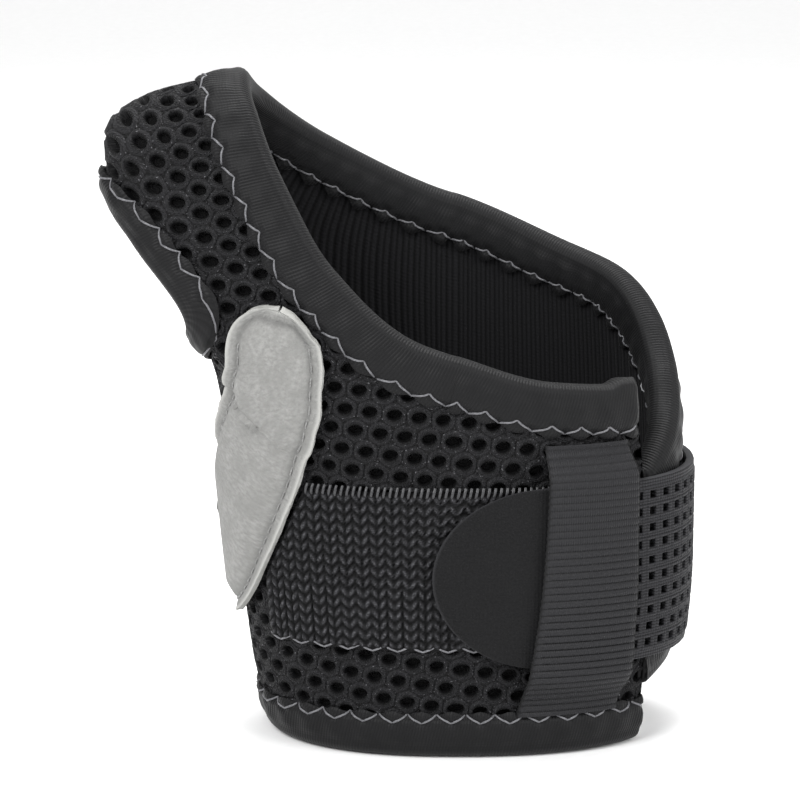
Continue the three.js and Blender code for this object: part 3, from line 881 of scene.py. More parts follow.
def brushed_loop_knit(colours):
    """Loop-faced polyester knit: deep black painted shade between the chevron stitches and along the band's
    edges, with painted highlights on the loop crests.
    """
    material, tree, shader = start_cloth("Brushed_loop_knit", 0.6, 0.02)
    vector, _, _ = cloth_uv(tree)
    crest = stored(tree, "crest")
    grain = speckle(tree, vector, 0.35, 3.0)
    # Painted highlights: bright flecks on the highest loop crests
    tip_highlights = math(tree, "MULTIPLY", span(tree, crest, 0.6, 1.0), span(tree, grain, 0.4, 0.66))
    # Painted shade: near black where the crest mask is low, between the chevrons and along the edges
    body = blend_colours(tree, span(tree, crest, 0.25, 0.95), linear("040405"), linear(colours.band))
    paint(tree, shader, blend_colours(tree, tip_highlights, body, linear("4c4c4f")))
    bump(tree, shader, grain, 0.00025)
    return material


def woven_elastic(colours):
    """Woven elastic: charcoal polyester over rubber, tight upright ribs between the open squares."""
    material, tree, shader = start_cloth("Woven_elastic", 0.6, 0.02)
    vector, along, upward = cloth_uv(tree)
    ribs = waves(tree, upward, 0.5)
    cross = waves(tree, along, 0.5)
    grain = speckle(tree, vector, 0.4)
    shade = blend_colours(tree, grain, linear(colours.strap), linear(colours.strap_light))
    # Painted shade in the grooves between the ribs
    paint(tree, shader, blend_colours(tree, span(tree, ribs, 0.0, 0.4), linear("111112"), shade))
    bump(tree, shader, math(tree, "MULTIPLY_ADD", cross, 0.4, ribs), 0.00012)
    return material


def hook_tape_face(colours):
    """Moulded nylon hook tape, seen from its plain woven back: flat black with a fine dull tooth."""
    material, tree, shader = start_cloth("Nylon_hook_tape_back", 0.8, 0.03)
    vector, along, upward = cloth_uv(tree)
    rim = stored(tree, "rim")
    tooth = speckle(tree, vector, 0.35, 3.0)
    cloudy = speckle(tree, vector, 6)
    weave = math(tree, "MULTIPLY", waves(tree, along, 0.55), waves(tree, upward, 0.55))
    body = blend_colours(tree, span(tree, tooth, 0.3, 0.75), linear(colours.tab), linear("171718"))
    worn = blend_colours(tree, math(tree, "MULTIPLY", cloudy, 0.35), body, linear("1b1b1c"))
    # Lighter along the edge, by the rim mask
    paint(tree, shader, blend_colours(tree, rim, worn, linear("2c2c2e")))
    bump(tree, shader, math(tree, "MULTIPLY_ADD", weave, 0.6, tooth), 0.00013)
    return material


def grosgrain(colours):
    """Polyester grosgrain ribbon: charcoal, a satin light on every raised rib, and painted shade in the grooves
    between.
    """
    material, tree, shader = start_cloth("Polyester_grosgrain", 0.45, 0.02)
    vector, across, _ = cloth_uv(tree)
    threads = waves(tree, across, 0.36)
    grain = speckle(tree, vector, 0.5)
    crest = stored(tree, "crest")
    body = blend_colours(tree, grain, linear(colours.ribbon), linear(colours.ribbon_light))
    # Painted shade: near black where the crest mask is low, in the grooves and at the selvedges
    paint(tree, shader, blend_colours(tree, span(tree, crest, 0.0, 0.6), linear("0f0f10"), body))
    bump(tree, shader, threads, 0.00006)
    return material


def sewing_thread(name, code):
    """Bonded polyester sewing thread: a slight shine that marks each stitch."""
    material, tree, shader = start_material(name, roughness=0.38, specular_ior_level=0.4)
    place = add_node(tree, "ShaderNodeTexCoord").outputs["Object"]
    twist = speckle(tree, place, 0.0003)
    # The colour flecks along the twist between dark 2a2a2c and the given colour; for the black thread that light
    # grey is painted highlight
    paint(tree, shader, blend_colours(tree, twist, linear("2a2a2c"), linear(code)))
    bump(tree, shader, twist, 0.00005)
    return material


def studio_paper():
    """Matt white background paper, with a tooth too fine to shine."""
    material, tree, shader = start_material("Studio_paper", roughness=0.85)
    place = add_node(tree, "ShaderNodeTexCoord").outputs["Object"]
    tooth = speckle(tree, place, 0.004)
    paint(tree, shader, blend_colours(tree, tooth, linear("eeeeee"), linear("f4f4f4")))
    bump(tree, shader, tooth, 0.00002)
    return material


# What a user would change

def length(name, description, value):
    return bpy.props.FloatProperty(
        name=name, description=description, default=value * MM, unit="LENGTH", precision=4
    )


def dye(name, description, code):
    return bpy.props.StringProperty(name=name, description=description, default=code)


class SplintSizes(bpy.types.PropertyGroup):
    """Sizes of the knits, tapes and stitches"""

    hole_pitch: length("Hole pitch", "Between the middles of neighbouring holes of the mesh", 3.95)
    hole_width: length("Hole width", "Of one hole of the mesh, along the wrap", 2.65)
    hole_height: length("Hole height", "Of one hole of the mesh, up the wrap", 1.8)
    yarn_relief: length("Yarn relief", "How far the yarn stands up round a hole", 0.42)
    lining_rib: length("Lining rib", "Pitch of the lining's upright ribs", 1.7)
    stitch_pitch: length("Zigzag pitch", "One whole zigzag of the binding stitch", 4.7)
    stitch_reach: length("Zigzag reach", "How far the zigzag runs in over the tape", 2.6)
    scallop: length("Scallop", "How far the tape's border stands out between two stitches", 0.34)
    thread_radius: length("Thread radius", "Of the sewing thread", 0.17)
    tape_pucker: length("Tape pucker", "How far the tape swells between two stitches", 0.45)
    patch_stitch: length("Patch stitch", "Length of one straight stitch round the suede", 2.3)
    stitch_inset: length("Stitch inset", "From the suede's cut edge in to its stitch line", 1.9)
    loop_width: length("Loop width", "One chevron of the loop band, along it", 2.5)
    loop_height: length("Loop height", "One chevron of the loop band, up it", 1.75)
    square_width: length("Square width", "Pitch of the strap's open squares, along it", 2.6)
    square_height: length("Square height", "Pitch of the strap's open squares, up it", 2.75)
    rib_pitch: length("Ribbon rib", "Pitch of the grosgrain's ribs", 1.15)


class SplintColours(bpy.types.PropertyGroup):
    """Colours of the cloths, as sRGB hex values"""

    mesh: dye("Mesh", "Spacer mesh, in its shade", "121213")
    mesh_light: dye("Mesh, worn", "Spacer mesh where it is brushed", "242426")
    lining: dye("Lining", "Brushed knit inside", "0e0e0f")
    tape: dye("Tape", "Binding tape", "0e0e0f")
    tape_light: dye("Tape, worn", "Binding tape where it is rubbed", "19191a")
    suede: dye("Suede", "Suede where its nap stands", "8c8c8a")
    suede_dark: dye("Suede, flat", "Suede where its nap lies over", "7a7a78")
    suede_rim: dye("Suede rim", "Raw cut edge of the suede", "9c9c99")
    band: dye("Band", "Loop band's stitches", "222224")
    strap: dye("Strap", "Woven elastic", "222224")
    strap_light: dye("Strap, worn", "Woven elastic's yarn tops", "313134")
    tab: dye("Tab", "Hook tab", "0c0c0d")
    ribbon: dye("Ribbon", "Grosgrain ribbon", "1b1b1d")
    ribbon_light: dye("Ribbon, worn", "Grosgrain's rib tops", "272729")
    # The thread is black; this light grey is its painted highlight
    thread: dye("Thread", "Sewing thread on the tapes", "7c7c80")


def settings(context):
    return context.scene.splint_sizes, context.scene.splint_colours


# Spacer mesh

# The rows of holes run this many degrees off level, and enough cells are laid to cover the whole panel
MESH_BIAS = -19
CELLS_ACROSS = 74
CELLS_UPWARD = 62

# How far in from the edges a cell's middle must lie for a tape to hide the cell's sides
CELL_CLEARANCE = 2.6 * MM


def knit_cell(sizes):
    """One six-sided cell of the mesh with its oval hole, lying flat: a closed little block."""
    corner = sizes.hole_pitch / sqrt(3)
    wide, tall = sizes.hole_width / 2, sizes.hole_height / 2
    crest = sizes.yarn_relief
    rings = [
        (mix(corner, wide, 0.42), mix(corner, tall, 0.34), 0.5 * crest),
        (mix(corner, wide, 0.72), mix(corner, tall, 0.66), crest),
        (wide, tall, 0.45 * crest),
        (0.9 * wide, 0.88 * tall, -1.05 * MM),
    ]
    bpy.ops.object.select_all(action="DESELECT")
    bpy.ops.mesh.primitive_circle_add(
        vertices=12,
        radius=corner,
        fill_type="NGON",
        location=(0, 0, -MESH_THICKNESS),
        rotation=(0, 0, pi / 6),
    )
    cell = bpy.context.object
    cell.name = "mesh_shell_knit"
    cell.data.name = cell.name
    bpy.ops.object.transform_apply(location=True, rotation=True, scale=True)
    edit_all(cell)
    bpy.ops.mesh.extrude_region_move(TRANSFORM_OT_translate={"value": (0, 0, MESH_THICKNESS)})
    last = (corner, corner, 0.0)
    for ring in rings:
        bpy.ops.mesh.extrude_region_move(TRANSFORM_OT_translate={"value": (0, 0, ring[2] - last[2])})
        bpy.ops.transform.resize(value=(ring[0] / last[0], ring[1] / last[1], 1), center_override=(0, 0, 0))
        last = ring
    done(cell)
    points = points_of(cell)
    reach = np.hypot(points[:, 0], points[:, 1])
    sixth = np.degrees(np.arctan2(points[:, 1], points[:, 0])) / 60
    between = np.abs(sixth - np.round(sixth)) < 0.1
    pick(cell, points=between & (reach > 0.99 * corner))
    bpy.ops.transform.resize(value=(cos(pi / 6), cos(pi / 6), 1), center_override=(0, 0, 0))
    done(cell)
    store_uv(cell, "Cell", points_of(cell)[:, :2] / MM)
    return cell


def near(points, outline):
    """How far each point lies from the nearest point of an outline, on the flat panel."""
    gaps = points[:, None, :] - outline[None, :, :]
    return np.sqrt((gaps**2).sum(-1)).min(1)


def cell_fits(centres):
    """Whether each cell's middle lies on cloth, far enough in that the tapes hide its sides."""
    turns = np.linspace(-222, 162, 300)
    hand = np.column_stack(PANEL.flat(turns, np.full_like(turns, 1.0)))
    wrist = np.column_stack(PANEL.flat(turns, np.zeros_like(turns)))
    thumb = np.column_stack(PANEL.flat(*thumb_path(np.linspace(0, 2 * pi, 160))))
    turn, rise = PANEL.place(centres[:, 0], centres[:, 1])
    inside = (rise > 0.012) & (rise < 0.99) & (turn > BACK_END_TURN - 5) & (turn < PALM_END_TURN + 5)
    clear = np.min([near(centres, edge) for edge in (hand, wrist, thumb)], axis=0) > CELL_CLEARANCE
    return inside & ~in_hole(turn, rise) & clear


class SPLINT_OT_mesh_shell(bpy.types.Operator):
    """Outer layer: one knitted cell, repeated over the flat panel, trimmed and wrapped round the hand"""

    bl_idname = "splint.mesh_shell"
    bl_label = "Spacer mesh"

    def execute(self, context):
        sizes, colours = settings(context)
        cell = knit_cell(sizes)
        size = len(cell.data.vertices)
        bias = radians(MESH_BIAS)
        turn_cell = np.array([[cos(bias), -sin(bias)], [sin(bias), cos(bias)]])
        points = points_of(cell)
        outer = np.hypot(points[:, 0], points[:, 1]) > 0.8 * sizes.hole_pitch / 2
        points[outer, :2] = points[outer, :2] @ turn_cell.T
        move_points(cell, points)
        first = Vector((cos(bias), sin(bias), 0)) * sizes.hole_pitch
        second = Vector((cos(bias + pi / 3), sin(bias + pi / 3), 0)) * sizes.hole_pitch
        for count, offset in ((CELLS_ACROSS, first), (CELLS_UPWARD, second)):
            modify(
                cell,
                "ARRAY",
                count=count,
                use_relative_offset=False,
                use_constant_offset=True,
                constant_offset_displace=offset,
            )
        points = points_of(cell)
        middle = (CELLS_ACROSS - 1) / 2 * first + (CELLS_UPWARD - 1) / 2 * second
        points -= np.array([middle.x + 6 * MM, middle.y - 48 * MM, 0])
        move_points(cell, points)
        keep = cell_fits(points.reshape(-1, size, 3).mean(1)[:, :2])
        pick(cell, points=np.repeat(~keep, size))
        bpy.ops.mesh.delete(type="VERT")
        bpy.ops.mesh.select_all(action="SELECT")
        bpy.ops.mesh.remove_doubles(threshold=0.03 * MM)
        bpy.ops.mesh.select_mode(type="FACE")
        bpy.ops.mesh.select_all(action="DESELECT")
        bpy.ops.mesh.select_interior_faces()
        bpy.ops.mesh.delete(type="FACE")
        bpy.ops.mesh.select_all(action="SELECT")
        bpy.ops.mesh.normals_make_consistent(inside=False)
        done(cell)
        flat = points_of(cell)
        store_uv(cell, "Cloth", flat[:, :2] / MM)
        turn, rise = PANEL.place(flat[:, 0], flat[:, 1])
        move_points(cell, np.column_stack([turn * MM, 100 * rise * MM, flat[:, 2]]))
        edit_all(cell)
        for end, way in ((PALM_END_TURN, 1), (BACK_END_TURN, -1)):
            bpy.ops.mesh.select_all(action="SELECT")
            bpy.ops.mesh.bisect(
                plane_co=(end * MM, 0, 0), plane_no=(way, 0, 0), use_fill=True, clear_outer=True
            )
        done(cell)
        flat = points_of(cell) / MM
        move_points(cell, on_skin(flat[:, 0], flat[:, 1] / 100, flat[:, 2] * MM))
        dress(cell, spacer_mesh_yarn(colours), "spacer_mesh", "mesh_shell", smooth_angle=75)
        return {"FINISHED"}


# Lining

class SPLINT_OT_lining(bpy.types.Operator):
    """Inner layer: a knit with upright ribs, cut out at the thumb hole"""

    bl_idname = "splint.lining"
    bl_label = "Lining"

    def execute(self, context):
        sizes, colours = settings(context)
        turns = np.array([BACK_END_TURN + 0.3, PALM_END_TURN - 0.3])
        ends = np.interp(turns, PANEL.turns, PANEL.along)
        piece = flat_grid("lining_knit", int((ends[1] - ends[0]) / sizes.lining_rib * 5), 44)
        flat = points_of(piece)
        spaced = mix(ends[0], ends[1], flat[:, 0])
        turn = np.interp(spaced, PANEL.along, PANEL.turns)
        rise = mix(0.02, 0.98, flat[:, 1])
        ribs = np.sqrt(np.abs(np.cos(pi * spaced / sizes.lining_rib)))
        lift = -WALL_THICKNESS + 0.38 * MM * (1 - ribs)
        store_uv(piece, "Cloth", np.column_stack([spaced, rise * WEB_HEIGHT]) / MM)
        move_points(piece, on_skin(turn, rise, lift))
        pick(piece, points=in_hole(turn, rise, 0.022))
        bpy.ops.mesh.delete(type="VERT")
        done(piece)
        modify(piece, "SOLIDIFY", thickness=0.55 * MM, offset=1.0)
        dress(piece, brushed_lining_knit(colours), "lining_knit", "lining")
        return {"FINISHED"}


# Binding tapes and their stitches

TAPES = {
    "hand_edge": {
        "path": hand_path,
        "start": BACK_END_TURN,
        "end": PALM_END_TURN,
        "from_edge": from_hand_edge,
        "width": HAND_TAPE_WIDTH,
        "gap": TAPE_GAP,
        "closed": False,
        "ear": True,
    },
    "wrist_edge": {
        "path": wrist_path,
        "start": PALM_END_TURN,
        "end": BACK_END_TURN,
        "from_edge": from_wrist_edge,
        "width": WRIST_TAPE_WIDTH,
        "gap": TAPE_GAP,
        "closed": False,
        "ear": False,
    },
    "thumb_hole": {
        "path": thumb_path,
        "start": 2 * pi,
        "end": 0.0,
        "from_edge": from_thumb_edge,
        "width": THUMB_TAPE_WIDTH,
        "gap": THUMB_TAPE_GAP,
        "closed": True,
        "ear": False,
    },
}
TAPE_OVERHANG = 1.3 * MM
TAPE_ROLL = 1.9 * MM
FOLD_SHARE = 0.24
TAPE_ROWS = 44
TAPE_FACE = 0.52 * MM

# How far the zigzag draws the tape in: at its inner points, under its threads, towards the border
# between two stitches, and at the border itself
DIMPLE_DEPTH = 0.5 * MM
GROOVE_DEPTH = 0.4 * MM
PULL_DEPTH = 0.45 * MM
BORDER_DROP = 0.35 * MM


def tape_surface(tape, sizes, along, across, proud=0.0):
    """Points on a folded tape: across is -1 at its inner border, 0 on the fold and 1 outside."""
    ruler = tape["ruler"]
    station = ruler.at(along)
    phase = along / tape["pitch"]
    bulge = np.cos(2 * pi * phase)
    half = (WALL_THICKNESS + 2 * (tape["gap"] + TAPE_THICKNESS)) / 2 + proud
    side = np.abs(across)
    leg = np.clip((side - FOLD_SHARE) / (1 - FOLD_SHARE), 0, 1)
    roll = np.clip(side / FOLD_SHARE, 0, 1) * pi / 2
    scallop = sizes.scallop * np.where(across < 0, 2.0, 1.0)
    reach = tape["width"] + scallop * (bulge - 0.4) + 0.1 * MM * ripple(along, 7, 5 * MM)
    distance = np.where(side <= FOLD_SHARE, TAPE_ROLL * (1 - np.cos(roll)), mix(TAPE_ROLL, reach, leg))
    height = half * np.where(side <= FOLD_SHARE, np.sin(roll) ** 0.9, 1.0)
    inner = 1 - sizes.stitch_reach / tape["width"]
    puff = sizes.tape_pucker * (0.65 + 0.35 * bulge) * smooth_step(leg / 0.3) * (1 - leg**8)
    from_dimple = (phase - np.round(phase)) * tape["pitch"]
    dimple = np.exp(-(from_dimple**2 + ((leg - inner) * tape["width"]) ** 2) / (0.75 * MM) ** 2)
    from_thread = (leg - mix(inner, 1.0, 2 * np.abs(phase - np.round(phase)))) * tape["width"]
    tightness = np.where(phase > np.round(phase), 1.0, 0.55)
    groove = tightness * np.exp(-((from_thread / (0.6 * MM)) ** 2)) * smooth_step((leg - inner + 0.05) / 0.1)
    from_pull = (phase - 0.5 - np.round(phase - 0.5)) * tape["pitch"]
    pull = np.exp(-((from_pull / (0.8 * MM)) ** 2)) * smooth_step((leg - 0.72) / 0.28)
    wrinkle = 0.14 * MM * ripple(along + 2.5 * MM * leg, 11, 13 * MM) * smooth_step(leg / 0.2)
    drawn_in = DIMPLE_DEPTH * dimple + GROOVE_DEPTH * groove + PULL_DEPTH * pull + BORDER_DROP * leg**6
    height = height + puff + wrinkle - drawn_in
    if not tape["closed"]:
        outside = np.maximum(-along, along - ruler.length)
        height = height * (1 - 0.55 * smooth_step((outside + 0.2 * MM) / TAPE_OVERHANG))
    lift = np.sign(across) * height - WALL_THICKNESS / 2
    points = on_skin(*tape["from_edge"](station, distance), lift)
    if tape["ear"]:
        near_end = smooth_step((along - ruler.length + 5 * MM) / (3 * MM))
        points[..., 2] += 1.0 * MM * near_end * (1 - smooth_step(leg / 0.35))
    return points


def measured_tape(name, sizes):
    """A tape with the ruler along its edge, and a stitch pitch that fits it."""
    tape = dict(TAPES[name])
    tape["ruler"] = Ruler(tape["path"], tape["start"], tape["end"])
    repeats = round(tape["ruler"].length / sizes.stitch_pitch)
    tape["pitch"] = tape["ruler"].length / repeats
    return tape


class SPLINT_OT_edge_bindings(bpy.types.Operator):
    """Fold-over tapes on the hand edge, the wrist edge and the thumb hole, puckered by their stitches"""

    bl_idname = "splint.edge_bindings"
    bl_label = "Binding tapes"

    def execute(self, context):
        sizes, colours = settings(context)
        material = ribbed_binding_tape(colours)
        for name in TAPES:
            tape = measured_tape(name, sizes)
            full = tape["ruler"].length
            overhang = 0.0 if tape["closed"] else TAPE_OVERHANG
            piece = flat_grid(name + "_tape", int(full / TAPE_FACE), TAPE_ROWS)
            flat = points_of(piece)
            along = mix(-overhang, full + overhang, flat[:, 0])
            across = 2 * flat[:, 1] - 1
            store_uv(piece, "Cloth", np.column_stack([along / MM, across * tape["width"] / MM]))
            move_points(piece, tape_surface(tape, sizes, along, across))
            edit_all(piece)
            if tape["closed"]:
                bpy.ops.mesh.remove_doubles(threshold=0.02 * MM)
            bpy.ops.mesh.flip_normals()
            done(piece)
            modify(piece, "SOLIDIFY", thickness=TAPE_THICKNESS, offset=-1.0)
            dress(piece, material, "binding_tape", name + "_binding")
        return {"FINISHED"}


def zigzag(tape, sizes, side):
    """The zigzag on a tape's outer (1) or inner (-1) leg, as short threads that dip in at their ends."""
    runs = []
    half_pitch = tape["pitch"] / 2
    count = int(round(tape["ruler"].length / half_pitch))
    arch = np.array([-0.1, 0.16, 0.24, 0.16, -0.15]) * MM
    share = np.linspace(0, 1, len(arch))
    inner = FOLD_SHARE + (1 - FOLD_SHARE) * (1 - sizes.stitch_reach / tape["width"])
    border = 1.0
    for step in range(count):
        start, end = (border, inner) if step % 2 else (inner, border)
        along = (step + share) * half_pitch
        across = side * mix(start, end, share)
        face = tape_surface(tape, sizes, along, across)
        above = tape_surface(tape, sizes, along, across, proud=1 * MM)
        runs.append(face + unit(above - face) * arch[:, None])
    return runs


class SPLINT_OT_binding_stitches(bpy.types.Operator):
    """Zigzag stitches along the three tapes, outside and inside"""

    bl_idname = "splint.binding_stitches"
    bl_label = "Binding stitches"

    def execute(self, context):
        sizes, colours = settings(context)
        material = sewing_thread("Black_sewing_thread", colours.thread)
        for name in TAPES:
            tape = measured_tape(name, sizes)
            runs = zigzag(tape, sizes, 1) + zigzag(tape, sizes, -1)
            piece = thread_runs(name + "_stitches", runs, sizes.thread_radius)
            dress(piece, material, "binding_tape")
        return {"FINISHED"}


# Suede patch

# Share of the patch over which its way is averaged, so that its inner edge turns the corner smoothly
PATCH_NUDGE = 0.03


def patch_surface(ruler, along, side):
    """The place of a point on the patch, with how far it lies from the cut edge; side is -1 to 1."""
    share = ruler.at(along)
    from_end = np.clip(np.minimum(along, ruler.length - along), 0, PATCH_END_LENGTH)
    rounding = np.sqrt(np.clip(1 - (1 - from_end / PATCH_END_LENGTH) ** 2, 0.0, 1))
    half_width = patch_width(share) * rounding
    turn, rise = beside(patch_path, share, side * half_width, PATCH_NUDGE)
    from_edge = np.minimum((1 - np.abs(side)) * half_width, from_end)
    return turn, rise, from_edge


def patch_lift(from_edge, inset):
    """Height of the suede's face: over the stay, down to the stitch line, and up again on the raw rim."""
    over_stay = (STAY_THICKNESS + LAYER_GAP) * smooth_step((from_edge - 0.8 * inset) / (1.3 * PATCH_RIM))
    groove = -0.45 * MM * np.exp(-(((from_edge - inset) / (0.5 * MM)) ** 2))
    rim = 0.3 * MM * (1 - smooth_step(from_edge / (1.1 * MM)))
    return PATCH_GAP + PATCH_THICKNESS + over_stay + groove + rim


class SPLINT_OT_suede_patch(bpy.types.Operator):
    """Grey suede round the thumb side: swollen over the stay, stitched down, with a raw cut rim"""

    bl_idname = "splint.suede_patch"
    bl_label = "Suede patch"

    def execute(self, context):
        sizes, colours = settings(context)
        ruler = Ruler(patch_path, 0.0, 1.0)
        piece = flat_grid("suede_cover", 300, 52)
        flat = points_of(piece)
        along = ruler.length * 0.5 * (1 - np.cos(pi * mix(0.004, 0.996, flat[:, 0])))
        along = mix(along, ruler.length * flat[:, 0], 0.72)
        side = np.sin(pi / 2 * (2 * flat[:, 1] - 1))
        side = side * (1 + 0.003 * ripple(along, 5, 1.6 * MM) * np.abs(side) ** 8)
        turn, rise, from_edge = patch_surface(ruler, along, side)
        fray = 0.12 * MM * ripple(along + 4 * side * MM, 9, 1.8 * MM) * np.exp(-from_edge / (0.5 * MM))
        lift = patch_lift(from_edge, sizes.stitch_inset) + fray
        store_uv(piece, "Cloth", np.column_stack([along, side * PATCH_HALF_WIDTH]) / MM)
        store_mask(piece, "rim", 1 - smooth_step((from_edge - 0.15 * MM) / (0.7 * MM)))
        # This mask darkens the stitch groove in the material, as painted shade
        store_mask(piece, "groove", np.exp(-(((from_edge - sizes.stitch_inset) / (0.45 * MM)) ** 2)))
        move_points(piece, on_skin(turn, rise, lift))
        modify(piece, "SOLIDIFY", thickness=PATCH_THICKNESS * 0.9, offset=-1.0)
        dress(piece, grey_suede(colours), "suede", "suede_patch")
        self.stitch(sizes, ruler)
        return {"FINISHED"}

    def stitch(self, sizes, ruler):
        """A straight stitch all round, sunk in its groove."""
        inset = sizes.stitch_inset
        samples = 900
        along = np.concatenate([
            np.linspace(inset, ruler.length - inset, samples),
            np.linspace(ruler.length - inset, inset, samples),
        ])
        share = ruler.at(along)
        from_end = np.clip(np.minimum(along, ruler.length - along), 0, PATCH_END_LENGTH)
        rounding = np.sqrt(np.clip(1 - (1 - from_end / PATCH_END_LENGTH) ** 2, 0.0, 1))
        reach = patch_width(share) * rounding
        side = np.where(np.arange(2 * samples) < samples, 1.0, -1.0)
        ease = smooth_step((from_end - inset) / (PATCH_END_LENGTH - inset))
        turn, rise = beside(patch_path, share, side * (reach - inset) * mix(ease, 1.0, ease), PATCH_NUDGE)
        lift = patch_lift(np.full_like(turn, inset), inset)
        line = on_skin(turn, rise, lift)
        proud = unit(on_skin(turn, rise, lift + 1 * MM) - line)
        lengths = lengths_along(line)
        arch = np.array([-0.2, 0.14, 0.2, 0.14, -0.2]) * MM
        runs = []
        for step in range(int(lengths[-1] / sizes.patch_stitch)):
            at = (step + np.linspace(0.06, 0.9, len(arch))) * sizes.patch_stitch
            place = np.column_stack([np.interp(at, lengths, line[:, axis]) for axis in range(3)])
            away = np.column_stack([np.interp(at, lengths, proud[:, axis]) for axis in range(3)])
            runs.append(place + away * arch[:, None])
        piece = thread_runs("suede_stitches", runs, 0.9 * sizes.thread_radius)
        dress(piece, sewing_thread("Grey_sewing_thread", "9d9d9b"), "suede")


class SPLINT_OT_metal_stay(bpy.types.Operator):
    """The stay keeps its solid, and gets brushed aluminium"""

    bl_idname = "splint.metal_stay"
    bl_label = "Metal stay"

    def execute(self, context):
        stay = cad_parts["metal_stay"]
        stay.data.materials.clear()
        stay.data.materials.append(stay_aluminium())
        return {"FINISHED"}


# Pieces on the palm panel

class BodyRuler:
    """Turns a length round the plain body, at one height, into a turn."""

    def __init__(self, height):
        self.turns = np.linspace(0, 270, 800)
        self.lengths = lengths_along(body_point(self.turns, np.full_like(self.turns, height)))

    def at(self, length):
        return np.interp(length, self.lengths, self.turns)

    def of(self, turn):
        return np.interp(turn, self.turns, self.lengths)


PALM_RULER = BodyRuler(STRAP_BOTTOM + STRAP_HEIGHT / 2)


def patch_edge_turn(height):
    """The turn at which the patch's edge on the palm crosses each height."""
    share = np.linspace(0, 0.45, 120)
    turn, rise = beside(patch_path, share, patch_width(share) + BAND_CLEARANCE, PATCH_NUDGE)
    crossing = height_at(turn, rise)
    order = np.argsort(crossing)
    return np.interp(height, crossing[order], turn[order])


class SPLINT_OT_loop_band(bpy.types.Operator):
    """Band of chevron loops across the palm, with a roped seam on its top edge"""

    bl_idname = "splint.loop_band"
    bl_label = "Loop band"

    def execute(self, context):
        sizes, colours = settings(context)
        piece = flat_grid("loop_band_knit", 176, 84)
        flat = points_of(piece)
        height = BAND_BOTTOM + BAND_HEIGHT * flat[:, 1]
        turn = mix(patch_edge_turn(height), BAND_END_TURN, flat[:, 0])
        along = PALM_RULER.of(turn)
        column = along / sizes.loop_width
        place = column - np.floor(column)
        slant = np.abs(2 * place - 1)
        row = height / sizes.loop_height + 0.75 * slant + 0.06 * ripple(along, 21, 6 * MM)
        leg = 1 - (4 * np.abs(place - np.where(place < 0.5, 0.25, 0.75))) ** 2
        crest = np.clip(leg, 0, 1) ** 0.5 * np.abs(np.sin(pi * row)) ** 0.8
        from_side = np.minimum(flat[:, 0], 1 - flat[:, 0]) * 62 * MM
        from_seam = np.minimum(flat[:, 1], 1 - flat[:, 1]) * BAND_HEIGHT
        border = smooth_step(np.minimum(from_seam, from_side) / (0.9 * MM))
        lift = BAND_GAP + BAND_THICKNESS - 0.45 * MM + border * (0.3 * MM + 0.7 * MM * (crest - 0.5))
        store_uv(piece, "Cloth", np.column_stack([along, height]) / MM)
        # The crest mask drives the material's painted shade between the chevrons and its painted highlights on
        # the crests
        store_mask(piece, "crest", crest * border)
        move_points(piece, on_body(turn, height, lift))
        modify(piece, "SOLIDIFY", thickness=0.3 * MM, offset=-1.0)
        dress(piece, brushed_loop_knit(colours), "loop_knit", "loop_band")
        self.rope(sizes, colours)
        return {"FINISHED"}

    def rope(self, sizes, colours):
        """Overlocked top edge: slanting turns of thread, close together; the bottom edge is tacked down."""
        top = BAND_BOTTOM + BAND_HEIGHT - 0.1 * MM
        start = PALM_RULER.of(patch_edge_turn(np.array([top]))[0])
        end = PALM_RULER.of(BAND_END_TURN)
        pitch = 0.95 * MM
        arch = np.array([-0.2, 0.12, 0.2, 0.12, -0.2]) * MM
        share = np.linspace(-0.5, 0.5, len(arch))
        runs = []
        for step in range(int((end - start) / pitch)):
            along = start + (step + 0.5) * pitch + 0.35 * MM * share
            height = top + 1.7 * MM * share
            runs.append(on_body(PALM_RULER.at(along), height, BAND_GAP + BAND_THICKNESS - 0.25 * MM + arch))
        rope = thread_runs("loop_band_overlock", runs, 0.24 * MM)
        dress(rope, sewing_thread("Overlock_thread", "39393b"), "loop_knit")
        runs = []
        start = PALM_RULER.of(patch_edge_turn(np.array([BAND_BOTTOM]))[0])
        for step in range(int((end - start) / (2.1 * MM))):
            along = start + (step + share + 0.5) * 2.1 * MM
            height = BAND_BOTTOM + 0.3 * MM + 0.9 * MM * share * (1 if step % 2 else -1)
            runs.append(on_body(PALM_RULER.at(along), height, BAND_GAP + 0.35 * MM + 0.6 * arch))
        tacking = thread_runs("loop_band_tacking", runs, sizes.thread_radius)
        dress(tacking, sewing_thread("Tacking_thread", colours.thread), "loop_knit")


def strap_lift(turn):
    return mix(STRAP_LIFT, STRAP_GAP, smooth_step((turn - STRAP_DROP_TURN) / STRAP_DROP_SPAN))


